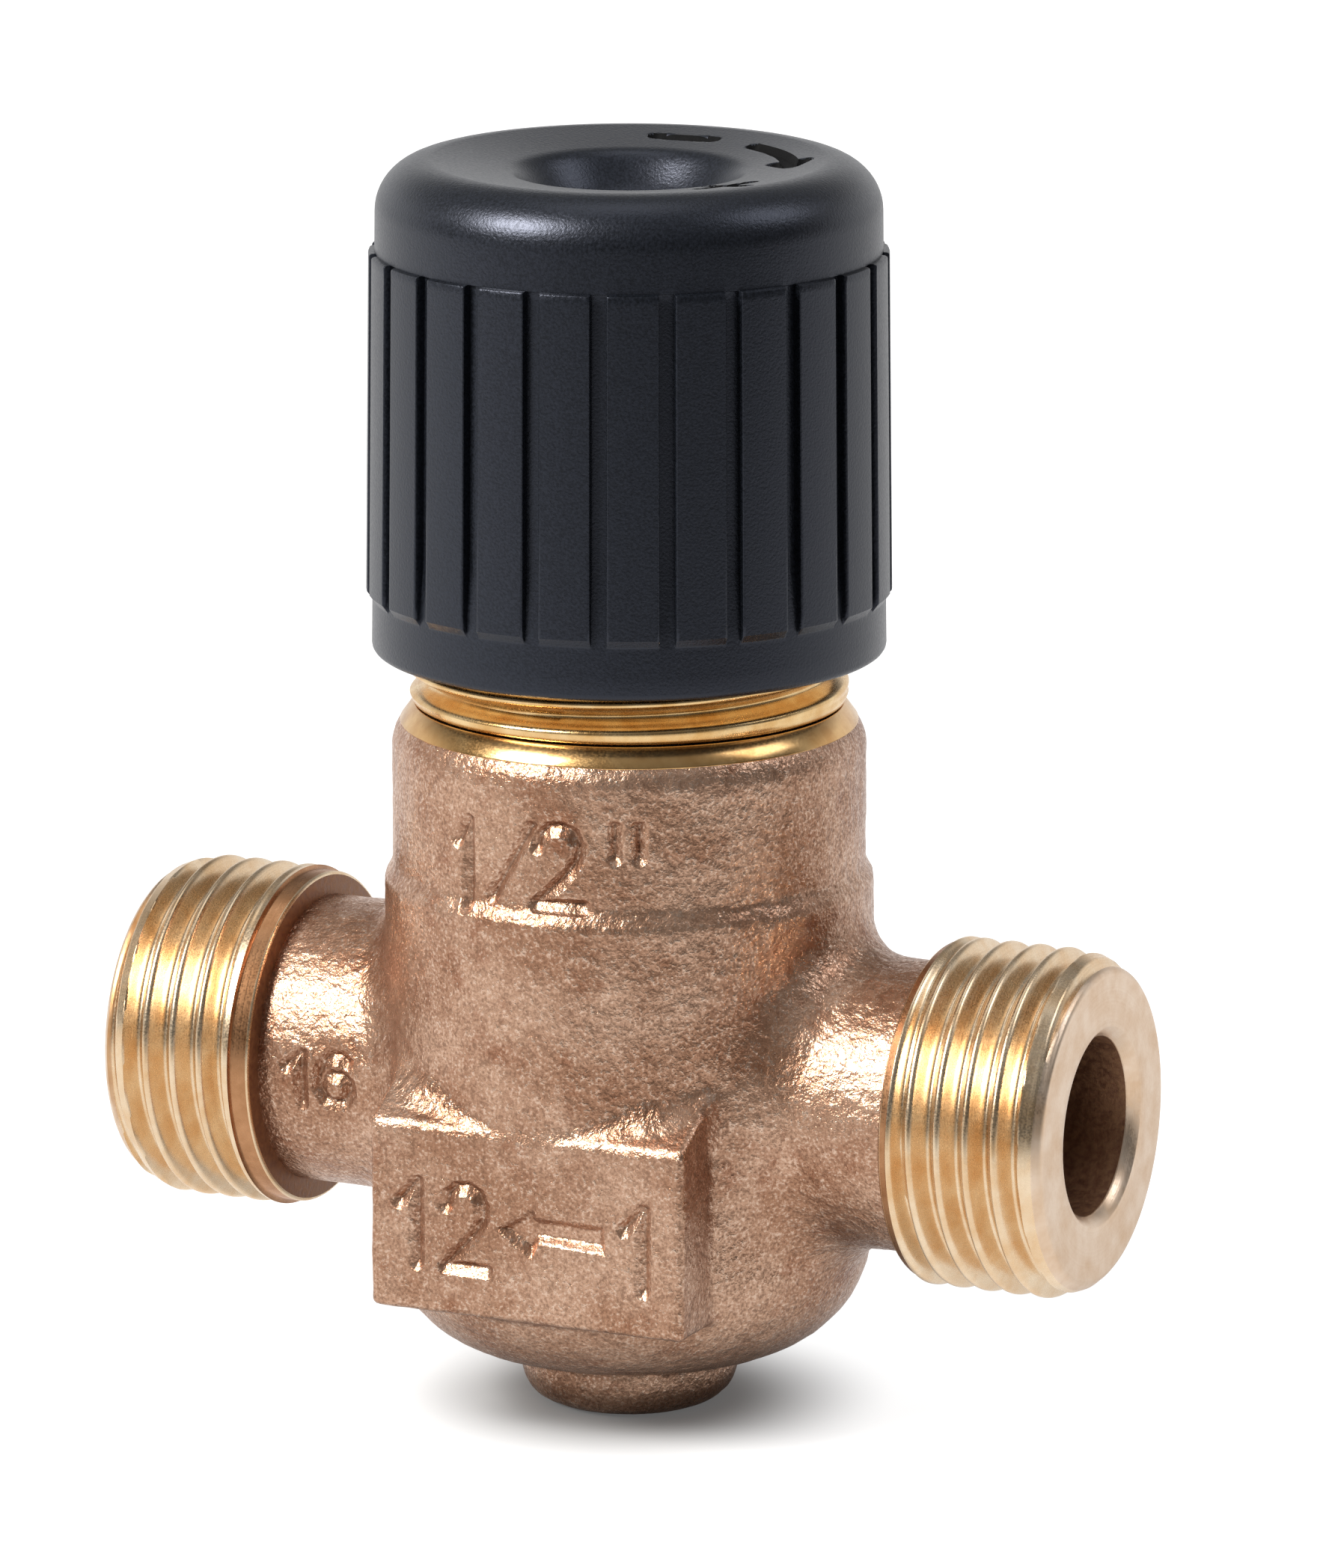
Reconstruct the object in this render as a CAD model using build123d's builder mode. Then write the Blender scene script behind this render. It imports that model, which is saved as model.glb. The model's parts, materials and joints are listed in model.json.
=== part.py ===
from build123d import *
import os

os.makedirs("parts", exist_ok=True)

# Globe valve with parallel pipe threads and a ribbed hand knob. Millimetres, +Z up.
# The origin is the middle of the foot; the stem runs up the Z axis and the pipe along X.
# Names that end in _level are heights from the pipe axis, so they move with it.

# Pipe ends: G 1/2 B threads on a round casting
thread_diameter = 20.955
face_to_face = 62.0
thread_zone = 8.8
thread_chamfer = 1.8
thread_chamfer_depth = 0.75
cast_ring_drop = 0.28
cast_ring_width = 1.4
port_radius = 5.4
port_mouth_chamfer = 0.4
stub_wall = 3.4
stub_flare = 2.4

# Body casting
axis_height = 20.26
foot_radius = 6.6
foot_height = 3.66
foot_edge_radius = 2.3
foot_root_radius = 0.9
barrel_step = 0.48
barrel_underside_flat = 0.25
barrel_top_level = 12.5
step_rise = 1.6
step_radius = 1.2
lip_level = 23.0
lip_wall = 1.67
lip_radius = 2.3

# Front lug that carries the flow signs
lug_half_width = 10.3
lug_top_level = -0.45
lug_bottom_level = -12.05
lug_stand_out = 0.1
lug_edge_radius = 0.45

# Waterway inside the body
chamber_step = 1.0
lower_chamber_radius = 9.0
floor_wall = 4.1
chamber_corner_radius = 2.5
seat_bore_radius = 5.0
seat_rim_width = 0.8
seat_rim_slope = 0.6
seat_level = 1.8
seat_rim_height = 1.0
seat_ring_thickness = 1.6
passage_width = 9.6
passage_height = 7.0
passage_corner_radius = 1.5
passage_run = 0.8
passage_overlap = 2.0
port_end_wall = 1.4

# Clearances
fit_clearance = 0.05
running_clearance = 0.05
closing_gap = 0.02
stop_gap = 0.1
collar_gap = 0.3
bonnet_foot_gap = 0.6
skirt_clearance = 0.95
cap_clearance = 0.5

# Stem and its travel
stem_radius = 2.5
stem_foot_radius = 2.0
stem_foot_stand_out = 0.4
stem_tip_length = 4.0
stem_tip_chamfer = 0.4
close_travel = 2.5
open_travel = 3.0

# Closing plug, from the stem's shoulder down
holder_rim_width = 0.55
holder_web = 2.0
holder_rim = 1.6
disc_radius = 6.8
disc_hole_radius = 3.0
disc_thickness = 2.0
plug_clearance = 0.25
plug_land = 0.7
plug_taper = 1.45
plug_height = 4.5
lock_washer_radius = 3.6
lock_washer_thickness = 0.6
plug_nut_flats = 7.0
plug_nut_height = 2.4

# Bonnet insert, whose collar carries a G 3/4 thread for the knob
collar_radius = 13.22
collar_cone_height = 1.4
bonnet_thread_radius = 11.55
bonnet_shoulder_step = 0.75
bonnet_shoulder_depth = 1.6
bonnet_shoulder_height = 1.2
bonnet_rim_rise = 3.0
bonnet_top_chamfer = 0.8
spring_cup_wall = 3.02
gland_tower_wall = 1.7
gland_bore_radius = 4.5
gland_bore_depth = 4.0
key_slot_width = 3.0
key_slot_depth = 1.5
bonnet_ring_rise = 2.98
bonnet_ring_groove_height = 2.2
bonnet_ring_groove_depth = 1.6

# Stem seal, stacked up from the floor of the gland bore
stem_ring_height = 1.9
spacer_height = 1.5
backup_height = 0.8
gland_thread_length = 4.9
gland_nut_flats = 10.0
gland_nut_head = 3.0
wiper_width = 1.2
wiper_recess = 1.4
wiper_stand_out = 0.2

# Spring and what holds it
spring_wire_radius = 0.7
spring_wire_sides = 8
spring_turns = 6.0
spring_washer_clearance = 0.3
spring_washer_bore_clearance = 0.8
spring_washer_thickness = 0.6
spring_cap_clearance = 0.9
spring_cap_thickness = 1.2
spring_spigot_clearance = 0.3
spring_spigot_height = 1.2
circlip_width = 2.25
circlip_thickness = 0.8
circlip_groove_depth = 0.4
circlip_mouth = 3.0

# Hand knob
knob_wall = 2.19
knob_draft_drop = 0.31
knob_edge_radius = 3.1
knob_skirt_edge_radius = 0.45
knob_crown_drop = 0.65
knob_crown_flat = 0.15
knob_dish_radius = 7.0
knob_dish_depth = 2.7
knob_crown_height = 10.2
rib_bottom_rise = 3.75
rib_top_drop = 5.5
rib_height = 0.37
rib_count = 24
rib_gap = 0.95
rib_gap_depth = 0.5
rib_gap_angle = 3.2
rib_foot_slope = 0.5
knob_thread_run = 0.8
knob_core_step = 0.87
knob_mouth_chamfer = 0.6
knob_ceiling_drop = 3.0
knob_boss_root_drop = 4.6
knob_boss_root_radius = 8.5
knob_boss_radius = 5.0
knob_boss_draft = 0.6
web_count = 6
web_thickness = 1.6
web_clearance = 1.0


def at_axis(level):
    """Height above the foot of a level given from the pipe axis."""
    return axis_height + level


def finish(builder, label):
    """Name a finished piece and write its file."""
    builder.part.label = label
    export_step(builder.part, f"parts/{label}.step")


# Pipe ends and bores
half_length = face_to_face / 2
thread_radius = thread_diameter / 2
thread_start = half_length - thread_zone
cast_ring_radius = thread_radius - cast_ring_drop
stub_radius = port_radius + stub_wall
pipe_axis = Axis((0, 0, axis_height), (1, 0, 0))

# Body radii build up from the bonnet that screws into it
bonnet_bore_radius = bonnet_thread_radius + fit_clearance
bonnet_shoulder_radius = bonnet_thread_radius + bonnet_shoulder_step
collar_bore_radius = bonnet_shoulder_radius + collar_gap
neck_radius = collar_bore_radius + lip_wall
barrel_radius = neck_radius + barrel_step
barrel_edge_radius = barrel_radius - foot_radius - foot_root_radius - barrel_underside_flat
lug_face = barrel_radius + lug_stand_out
upper_chamber_radius = bonnet_bore_radius - chamber_step
lower_chamber_level = foot_height + floor_wall - axis_height
port_end = upper_chamber_radius + port_end_wall
passage_outer_end = port_end + passage_run
passage_inner_end = lower_chamber_radius - passage_overlap

# The seat, and the plug that rests the stem's closing travel above it
seat_ring_top = seat_level - seat_rim_height
seat_ring_bottom = seat_ring_top - seat_ring_thickness
seat_ring_radius = upper_chamber_radius - fit_clearance
seat_rim_radius = seat_bore_radius + seat_rim_width
seat_rim_foot = seat_rim_radius + seat_rim_slope
plug_radius = seat_bore_radius - plug_clearance
plug_tip_radius = plug_radius - plug_taper
disc_bottom = at_axis(seat_level) + close_travel + closing_gap
disc_top = disc_bottom + disc_thickness
disc_recess_radius = disc_radius + fit_clearance
holder_radius = disc_recess_radius + holder_rim_width
holder_hole = stem_foot_radius + fit_clearance
stem_shoulder = disc_top + holder_web
plug_bottom = disc_bottom - plug_height
lock_washer_bottom = plug_bottom - lock_washer_thickness
stem_bottom = lock_washer_bottom - plug_nut_height - stem_foot_stand_out

# Bonnet heights
bonnet_bottom = stem_shoulder + open_travel + stop_gap
upper_chamber_top = bonnet_bottom - bonnet_foot_gap
bonnet_shoulder = at_axis(lip_level) - bonnet_shoulder_depth
collar_cone_bottom = bonnet_shoulder + bonnet_shoulder_height
collar_cone_top = collar_cone_bottom + collar_cone_height
spring_cup_floor = collar_cone_top
spring_cup_radius = collar_radius - spring_cup_wall
gland_tower_radius = gland_bore_radius + gland_tower_wall
gland_bore_bottom = spring_cup_floor - gland_bore_depth
ring_groove_bottom = bonnet_bottom + bonnet_ring_rise
ring_groove_top = ring_groove_bottom + bonnet_ring_groove_height
ring_groove_floor = bonnet_thread_radius - bonnet_ring_groove_depth

# Stem seal, each piece on the one below
stem_hole = stem_radius + running_clearance
seal_outer = gland_bore_radius - fit_clearance
seal_section = (seal_outer - stem_hole) / 2
spacer_bottom = gland_bore_bottom + stem_ring_height
upper_ring_bottom = spacer_bottom + spacer_height
backup_bottom = upper_ring_bottom + stem_ring_height
gland_nut_bottom = backup_bottom + backup_height
gland_head_bottom = gland_nut_bottom + gland_thread_length
gland_head_top = gland_head_bottom + gland_nut_head
wiper_radius = stem_hole + wiper_width
bonnet_top = gland_head_top + bonnet_rim_rise

# Spring between the gland tower and the cup's wall, its cap and the stem's tip
spring_radius = (gland_tower_radius + spring_cup_radius) / 2
spring_bottom = spring_cup_floor + spring_washer_thickness
spring_cap_bottom = bonnet_top + close_travel + cap_clearance
spring_length = spring_cap_bottom - spring_bottom
spring_cap_radius = spring_cup_radius - spring_cap_clearance
spring_spigot_radius = spring_radius - spring_wire_radius - spring_spigot_clearance
spring_washer_outer = spring_cup_radius - spring_washer_clearance
spring_washer_bore = gland_tower_radius + spring_washer_bore_clearance
circlip_bottom = spring_cap_bottom + spring_cap_thickness
circlip_top = circlip_bottom + circlip_thickness
circlip_bore = stem_radius - circlip_groove_depth + fit_clearance
circlip_radius = circlip_bore + circlip_width
stem_top = circlip_top + stem_tip_length

# Knob: its skirt clears the lip when shut, and its boss sits on the stem's tip
knob_skirt = at_axis(lip_level) + close_travel + skirt_clearance
knob_top = stem_top + knob_crown_height
knob_bore_radius = collar_radius + running_clearance
knob_foot_radius = knob_bore_radius + knob_wall
knob_shoulder_radius = knob_foot_radius - knob_draft_drop
knob_crown_radius = knob_shoulder_radius - knob_edge_radius - knob_crown_flat
knob_core_radius = knob_bore_radius - knob_core_step
knob_thread_top = bonnet_top + close_travel + knob_thread_run
knob_ceiling = knob_top - knob_ceiling_drop
knob_boss_root = knob_top - knob_boss_root_drop
knob_draft = knob_draft_drop / (knob_top - knob_edge_radius - knob_skirt)
rib_bottom = knob_skirt + rib_bottom_rise
rib_top = knob_top - rib_top_drop
web_bottom = circlip_top + web_clearance


def knob_side(height):
    """Radius of the knob's tapered side at a height."""
    return knob_foot_radius - (height - knob_skirt) * knob_draft


with BuildPart() as valve_body:
    with BuildSketch(Plane.XZ):
        with BuildLine():
            FilletPolyline(
                (0, 0),
                (foot_radius, 0),
                (foot_radius, foot_height),
                (barrel_radius, foot_height),
                (barrel_radius, at_axis(barrel_top_level)),
                (neck_radius, at_axis(barrel_top_level) + step_rise),
                (neck_radius, at_axis(lip_level)),
                (0, at_axis(lip_level)),
                radius=[
                    foot_edge_radius,
                    foot_root_radius,
                    barrel_edge_radius,
                    step_radius,
                    step_radius,
                    lip_radius,
                ],
            )
            Line((0, at_axis(lip_level)), (0, 0))
        make_face()
    revolve(axis=Axis.Z)

    # The two pipe ends are one turned form along the pipe axis
    with BuildSketch(Plane.XZ):
        with BuildLine():
            Polyline(
                (0, axis_height),
                (0, axis_height + stub_radius),
                (thread_start - cast_ring_width, axis_height + stub_radius),
                (thread_start - cast_ring_width, axis_height + cast_ring_radius),
                (thread_start, axis_height + cast_ring_radius),
                (thread_start, axis_height + thread_radius),
                (half_length - thread_chamfer, axis_height + thread_radius),
                (half_length, axis_height + thread_radius - thread_chamfer_depth),
                (half_length, axis_height),
                close=True,
            )
        make_face()
        mirror(about=Plane.YZ)
    revolve(axis=pipe_axis)
    fillet(valve_body.edges().filter_by(GeomType.BSPLINE), stub_flare)

    # Lug on the front of the barrel
    with BuildSketch(Plane.XZ.offset(lug_face)):
        with Locations((0, at_axis((lug_top_level + lug_bottom_level) / 2))):
            Rectangle(2 * lug_half_width, lug_top_level - lug_bottom_level)
    extrude(amount=-(lug_face - lower_chamber_radius))
    lug_front = valve_body.faces().sort_by(Axis.Y)[0]
    fillet(lug_front.edges(), lug_edge_radius)

    # Chambers, the shoulder for the seat ring and the bore for the bonnet
    with BuildSketch(Plane.XZ):
        with BuildLine():
            FilletPolyline(
                (0, at_axis(lip_level)),
                (collar_bore_radius, at_axis(lip_level)),
                (collar_bore_radius, bonnet_shoulder),
                (bonnet_bore_radius, bonnet_shoulder),
                (bonnet_bore_radius, upper_chamber_top),
                (upper_chamber_radius, upper_chamber_top),
                (upper_chamber_radius, at_axis(seat_ring_bottom)),
                (lower_chamber_radius, at_axis(seat_ring_bottom)),
                (lower_chamber_radius, at_axis(lower_chamber_level)),
                (0, at_axis(lower_chamber_level)),
                radius=[0, 0, 0, 0, 0, 0, 0, chamber_corner_radius],
            )
            Line((0, at_axis(lower_chamber_level)), (0, at_axis(lip_level)))
        make_face()
    revolve(axis=Axis.Z, mode=Mode.SUBTRACT)

    # Ports bored in from both faces, with a broken edge at the mouth
    for side in (1, -1):
        with BuildSketch(Plane.XZ):
            with BuildLine():
                Polyline(
                    (side * port_end, axis_height),
                    (side * port_end, axis_height + port_radius),
                    (side * (half_length - port_mouth_chamfer), axis_height + port_radius),
                    (side * half_length, axis_height + port_radius + port_mouth_chamfer),
                    (side * half_length, axis_height),
                    close=True,
                )
            make_face()
        revolve(axis=pipe_axis, mode=Mode.SUBTRACT)

    # Passages: the right port opens below the seat, the left one above it
    passage_centres = (
        (1, seat_ring_bottom - passage_height / 2),
        (-1, seat_ring_top + passage_height / 2),
    )
    for side, centre in passage_centres:
        with BuildSketch(Plane.YZ.offset(side * passage_outer_end)):
            with Locations((0, at_axis(centre))):
                RectangleRounded(passage_width, passage_height, passage_corner_radius)
        extrude(amount=-side * (passage_outer_end - passage_inner_end), mode=Mode.SUBTRACT)
finish(valve_body, "valve_body")

# Seat ring: a turned plate with a raised rim, set on the shoulder between the chambers
with BuildPart() as seat_ring:
    with BuildSketch(Plane.XZ):
        with BuildLine():
            Polyline(
                (seat_bore_radius, at_axis(seat_ring_bottom)),
                (seat_ring_radius, at_axis(seat_ring_bottom)),
                (seat_ring_radius, at_axis(seat_ring_top)),
                (seat_rim_foot, at_axis(seat_ring_top)),
                (seat_rim_radius, at_axis(seat_level)),
                (seat_bore_radius, at_axis(seat_level)),
                close=True,
            )
        make_face()
    revolve(axis=Axis.Z)
finish(seat_ring, "seat_ring")

# Bonnet: the insert that closes the body, guides the stem and carries the knob
with BuildPart() as bonnet:
    with BuildSketch(Plane.XZ):
        with BuildLine():
            Polyline(
                (stem_hole, bonnet_bottom),
                (bonnet_thread_radius, bonnet_bottom),
                (bonnet_thread_radius, ring_groove_bottom),
                (ring_groove_floor, ring_groove_bottom),
                (ring_groove_floor, ring_groove_top),
                (bonnet_thread_radius, ring_groove_top),
                (bonnet_thread_radius, bonnet_shoulder),
                (bonnet_shoulder_radius, bonnet_shoulder),
                (bonnet_shoulder_radius, collar_cone_bottom),
                (collar_radius, collar_cone_top),
                (collar_radius, bonnet_top - bonnet_top_chamfer),
                (collar_radius - bonnet_top_chamfer, bonnet_top),
                (spring_cup_radius, bonnet_top),
                (spring_cup_radius, spring_cup_floor),
                (gland_tower_radius, spring_cup_floor),
                (gland_tower_radius, gland_head_bottom),
                (gland_bore_radius, gland_head_bottom),
                (gland_bore_radius, gland_bore_bottom),
                (stem_hole, gland_bore_bottom),
                close=True,
            )
        make_face()
    revolve(axis=Axis.Z)

    # Two slots across the rim take the key that screws the insert in
    with BuildSketch(Plane.XY.offset(bonnet_top)):
        Rectangle(2 * collar_radius, key_slot_width)
    extrude(amount=-key_slot_depth, mode=Mode.SUBTRACT)
finish(bonnet, "bonnet")

# Seal ring in the bonnet's outer groove
bonnet_ring_section = bonnet_ring_groove_depth / 2
with BuildPart() as bonnet_o_ring:
    with BuildSketch(Plane.XZ):
        with Locations(
            (
                ring_groove_floor + bonnet_ring_section,
                (ring_groove_bottom + ring_groove_top) / 2,
            )
        ):
            Circle(bonnet_ring_section - fit_clearance / 2)
    revolve(axis=Axis.Z)
finish(bonnet_o_ring, "bonnet_o_ring")

# Two seal rings round the stem, squeezed to an oval by the gland nut
for label, bottom in (
    ("stem_o_ring_lower", gland_bore_bottom),
    ("stem_o_ring_upper", upper_ring_bottom),
):
    with BuildPart() as stem_o_ring:
        with BuildSketch(Plane.XZ):
            with Locations((stem_hole + seal_section, bottom + stem_ring_height / 2)):
                Ellipse(seal_section, stem_ring_height / 2)
        revolve(axis=Axis.Z)
    finish(stem_o_ring, label)

# Plain flat rings: label, bore, outer radius, bottom and thickness
plain_rings = (
    ("spacer_ring", stem_hole, seal_outer, spacer_bottom, spacer_height),
    ("backup_washer", stem_hole, seal_outer, backup_bottom, backup_height),
    (
        "wiper_ring",
        stem_hole,
        wiper_radius,
        gland_head_top - wiper_recess,
        wiper_recess + wiper_stand_out,
    ),
    (
        "spring_washer",
        spring_washer_bore,
        spring_washer_outer,
        spring_cup_floor,
        spring_washer_thickness,
    ),
    ("seat_disc", disc_hole_radius, disc_radius, disc_bottom, disc_thickness),
    (
        "lock_washer",
        holder_hole,
        lock_washer_radius,
        lock_washer_bottom,
        lock_washer_thickness,
    ),
)
for label, bore, outer, bottom, thickness in plain_rings:
    with BuildPart() as plain_ring:
        with BuildSketch(Plane.XY.offset(bottom)):
            Circle(outer)
            Circle(bore, mode=Mode.SUBTRACT)
        extrude(amount=thickness)
    finish(plain_ring, label)

# Gland nut: threaded shank in the tower, hexagon above it, recess for the wiper
with BuildPart() as gland_nut:
    with BuildSketch(Plane.XY.offset(gland_nut_bottom)):
        Circle(seal_outer)
    extrude(amount=gland_thread_length)
    with BuildSketch(Plane.XY.offset(gland_head_bottom)):
        RegularPolygon(gland_nut_flats / 2, 6, major_radius=False)
    extrude(amount=gland_nut_head)
    with BuildSketch(Plane.XY.offset(gland_nut_bottom)):
        Circle(stem_hole)
    extrude(amount=gland_head_top - gland_nut_bottom, mode=Mode.SUBTRACT)
    with BuildSketch(Plane.XY.offset(gland_head_top)):
        Circle(wiper_radius + fit_clearance)
    extrude(amount=-wiper_recess, mode=Mode.SUBTRACT)
finish(gland_nut, "gland_nut")

# Stem: shoulder for the plug, groove for the retaining ring, chamfered tip
with BuildPart() as stem:
    with BuildSketch(Plane.XZ):
        with BuildLine():
            Polyline(
                (0, stem_bottom),
                (stem_foot_radius, stem_bottom),
                (stem_foot_radius, stem_shoulder),
                (stem_radius, stem_shoulder),
                (stem_radius, circlip_bottom),
                (stem_radius - circlip_groove_depth, circlip_bottom),
                (stem_radius - circlip_groove_depth, circlip_top),
                (stem_radius, circlip_top),
                (stem_radius, stem_top - stem_tip_chamfer),
                (stem_radius - stem_tip_chamfer, stem_top),
                (0, stem_top),
                close=True,
            )
        make_face()
    revolve(axis=Axis.Z)
finish(stem, "stem")

# Disc holder: a cup that carries the seal disc against the seat
with BuildPart() as disc_holder:
    with BuildSketch(Plane.XZ):
        with BuildLine():
            Polyline(
                (holder_hole, disc_top),
                (disc_recess_radius, disc_top),
                (disc_recess_radius, disc_top - holder_rim),
                (holder_radius, disc_top - holder_rim),
                (holder_radius, stem_shoulder),
                (holder_hole, stem_shoulder),
                close=True,
            )
        make_face()
    revolve(axis=Axis.Z)
finish(disc_holder, "disc_holder")

# Flow plug: clamps the disc and narrows downwards, so that the flow opens gently
with BuildPart() as flow_plug:
    with BuildSketch(Plane.XZ):
        with BuildLine():
            Polyline(
                (plug_tip_radius, plug_bottom),
                (holder_hole, plug_bottom),
                (holder_hole, disc_bottom),
                (plug_radius, disc_bottom),
                (plug_radius, disc_bottom - plug_land),
            )
            TangentArc(
                (plug_radius, disc_bottom - plug_land),
                (plug_tip_radius, plug_bottom),
                tangent=(0, -1),
            )
        make_face()
    revolve(axis=Axis.Z)
finish(flow_plug, "flow_plug")

with BuildPart() as plug_nut:
    with BuildSketch(Plane.XY.offset(lock_washer_bottom)):
        RegularPolygon(plug_nut_flats / 2, 6, major_radius=False)
        Circle(holder_hole, mode=Mode.SUBTRACT)
    extrude(amount=-plug_nut_height)
finish(plug_nut, "plug_nut")

# Spring cap: plate with a spigot that centres the spring, held by the retaining ring
with BuildPart() as spring_cap:
    with BuildSketch(Plane.XY.offset(spring_cap_bottom)):
        Circle(spring_cap_radius)
    extrude(amount=spring_cap_thickness)
    with BuildSketch(Plane.XY.offset(spring_cap_bottom)):
        Circle(spring_spigot_radius)
    extrude(amount=-spring_spigot_height)
    with BuildSketch(Plane.XY.offset(circlip_bottom)):
        Circle(stem_radius + fit_clearance)
    extrude(amount=-(spring_cap_thickness + spring_spigot_height), mode=Mode.SUBTRACT)
finish(spring_cap, "spring_cap")

with BuildPart() as stem_circlip:
    with BuildSketch(Plane.XY.offset(circlip_bottom)):
        Circle(circlip_radius)
        Circle(circlip_bore, mode=Mode.SUBTRACT)
        with Locations((circlip_radius / 2, 0)):
            Rectangle(circlip_radius, circlip_mouth, mode=Mode.SUBTRACT)
    extrude(amount=circlip_thickness)
finish(stem_circlip, "stem_circlip")

# Return spring with both ends ground flat
with BuildPart() as return_spring:
    with BuildLine():
        coil = Helix(
            spring_length / spring_turns,
            spring_length,
            spring_radius,
            center=(0, 0, spring_bottom),
        )
    with BuildSketch(Plane(origin=coil @ 0, z_dir=coil % 0)):
        RegularPolygon(spring_wire_radius, spring_wire_sides)
    sweep(is_frenet=True)
    with BuildSketch(Plane.XY.offset(spring_bottom)):
        Circle(spring_radius + 2 * spring_wire_radius)
    extrude(amount=spring_length, mode=Mode.INTERSECT)
finish(return_spring, "return_spring")

# Hand knob: a moulded cap with a dished top, ribs outside and webs inside
with BuildPart() as hand_knob:
    dish_edge = (knob_dish_radius, knob_top - knob_crown_drop)
    dish_bottom = (0, knob_top - knob_crown_drop - knob_dish_depth)
    boss_end = stem_top + running_clearance
    with BuildSketch(Plane.XZ):
        with BuildLine():
            FilletPolyline(
                (knob_bore_radius + knob_mouth_chamfer, knob_skirt),
                (knob_foot_radius, knob_skirt),
                (knob_side(rib_bottom - rib_foot_slope), rib_bottom - rib_foot_slope),
                (knob_side(rib_bottom) + rib_height, rib_bottom),
                (knob_side(rib_top) + rib_height, rib_top),
                (knob_side(rib_top), rib_top),
                (knob_shoulder_radius, knob_top),
                (knob_crown_radius, knob_top),
                dish_edge,
                radius=[knob_skirt_edge_radius, 0, 0, 0, 0, knob_edge_radius, 0],
            )
            TangentArc(dish_bottom, dish_edge, tangent=(1, 0))
            Polyline(
                dish_bottom,
                (0, boss_end),
                (knob_boss_radius - knob_boss_draft, boss_end),
                (knob_boss_radius, knob_boss_root),
                (knob_boss_root_radius, knob_boss_root),
                (knob_boss_root_radius + (knob_ceiling - knob_boss_root), knob_ceiling),
                (knob_core_radius, knob_ceiling),
                (knob_core_radius, knob_thread_top),
                (knob_bore_radius, knob_thread_top),
                (knob_bore_radius, knob_skirt + knob_mouth_chamfer),
                (knob_bore_radius + knob_mouth_chamfer, knob_skirt),
            )
        make_face()
    revolve(axis=Axis.Z)

    # Gaps between the ribs
    gap_floor = knob_side(rib_top) + rib_height - rib_gap_depth
    with BuildSketch(Plane.XY.offset(rib_bottom - rib_foot_slope)):
        with PolarLocations(gap_floor + rib_gap, rib_count, rib_gap_angle):
            Rectangle(2 * rib_gap, rib_gap)
    extrude(amount=rib_top - rib_bottom + rib_foot_slope, mode=Mode.SUBTRACT)

    # Webs from the thrust boss to the wall
    with BuildSketch(Plane.XY.offset(web_bottom)):
        with PolarLocations((knob_boss_radius + knob_core_radius) / 2, web_count):
            Rectangle(knob_core_radius - knob_boss_radius + web_thickness, web_thickness)
    extrude(amount=knob_ceiling - web_bottom)
finish(hand_knob, "hand_knob")
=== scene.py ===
import json
import math

import bmesh
import bpy
import numpy as np
from mathutils import Matrix, Vector, noise


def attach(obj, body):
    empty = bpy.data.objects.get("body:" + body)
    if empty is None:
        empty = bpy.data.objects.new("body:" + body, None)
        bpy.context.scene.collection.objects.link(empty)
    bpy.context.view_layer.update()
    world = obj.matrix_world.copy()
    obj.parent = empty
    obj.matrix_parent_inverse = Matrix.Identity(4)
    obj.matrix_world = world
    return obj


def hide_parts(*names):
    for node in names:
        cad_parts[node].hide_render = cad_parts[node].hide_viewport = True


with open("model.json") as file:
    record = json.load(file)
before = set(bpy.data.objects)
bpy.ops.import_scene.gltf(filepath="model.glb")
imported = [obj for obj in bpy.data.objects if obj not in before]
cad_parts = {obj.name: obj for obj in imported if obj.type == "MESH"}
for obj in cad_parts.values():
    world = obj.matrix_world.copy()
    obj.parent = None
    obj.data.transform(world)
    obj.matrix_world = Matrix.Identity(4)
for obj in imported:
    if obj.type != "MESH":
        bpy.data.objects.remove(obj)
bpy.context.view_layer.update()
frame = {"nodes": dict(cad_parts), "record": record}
pipeMount = next(m for m in frame["record"]["mounts"] if m["name"] == "inlet_thread")

# All settings are in millimetres; meshes turn to metres when they are made
mm = 0.001
axisHeight = pipeMount["pos_m"][2] / mm
threadRadius = pipeMount["dims"]["r_mm"]


def toLinear(hexColour):
    parts = [int(hexColour[i : i + 2], 16) / 255 for i in (1, 3, 5)]
    return [p / 12.92 if p < 0.04045 else ((p + 0.055) / 1.055) ** 2.4 for p in parts] + [1.0]


def addNode(tree, kind, settings=None, links=None):
    # A key names an input by its name or number, and otherwise a property of the node;
    # a link starts at an output, or at the first output of a node
    node = tree.nodes.new("ShaderNode" + kind)
    for key, value in (settings or {}).items():
        if isinstance(key, str) and hasattr(node, key):
            setattr(node, key, value)
    for key, value in (settings or {}).items():
        if not (isinstance(key, str) and hasattr(node, key)):
            node.inputs[key].default_value = value
    for key, source in (links or {}).items():
        start = source.outputs[0] if isinstance(source, bpy.types.Node) else source
        tree.links.new(start, node.inputs[key])
    return node


# Inputs of a range, in the order in which the settings give them
rangeEnds = ("From Min", "From Max", "To Min", "To Max")


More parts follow.
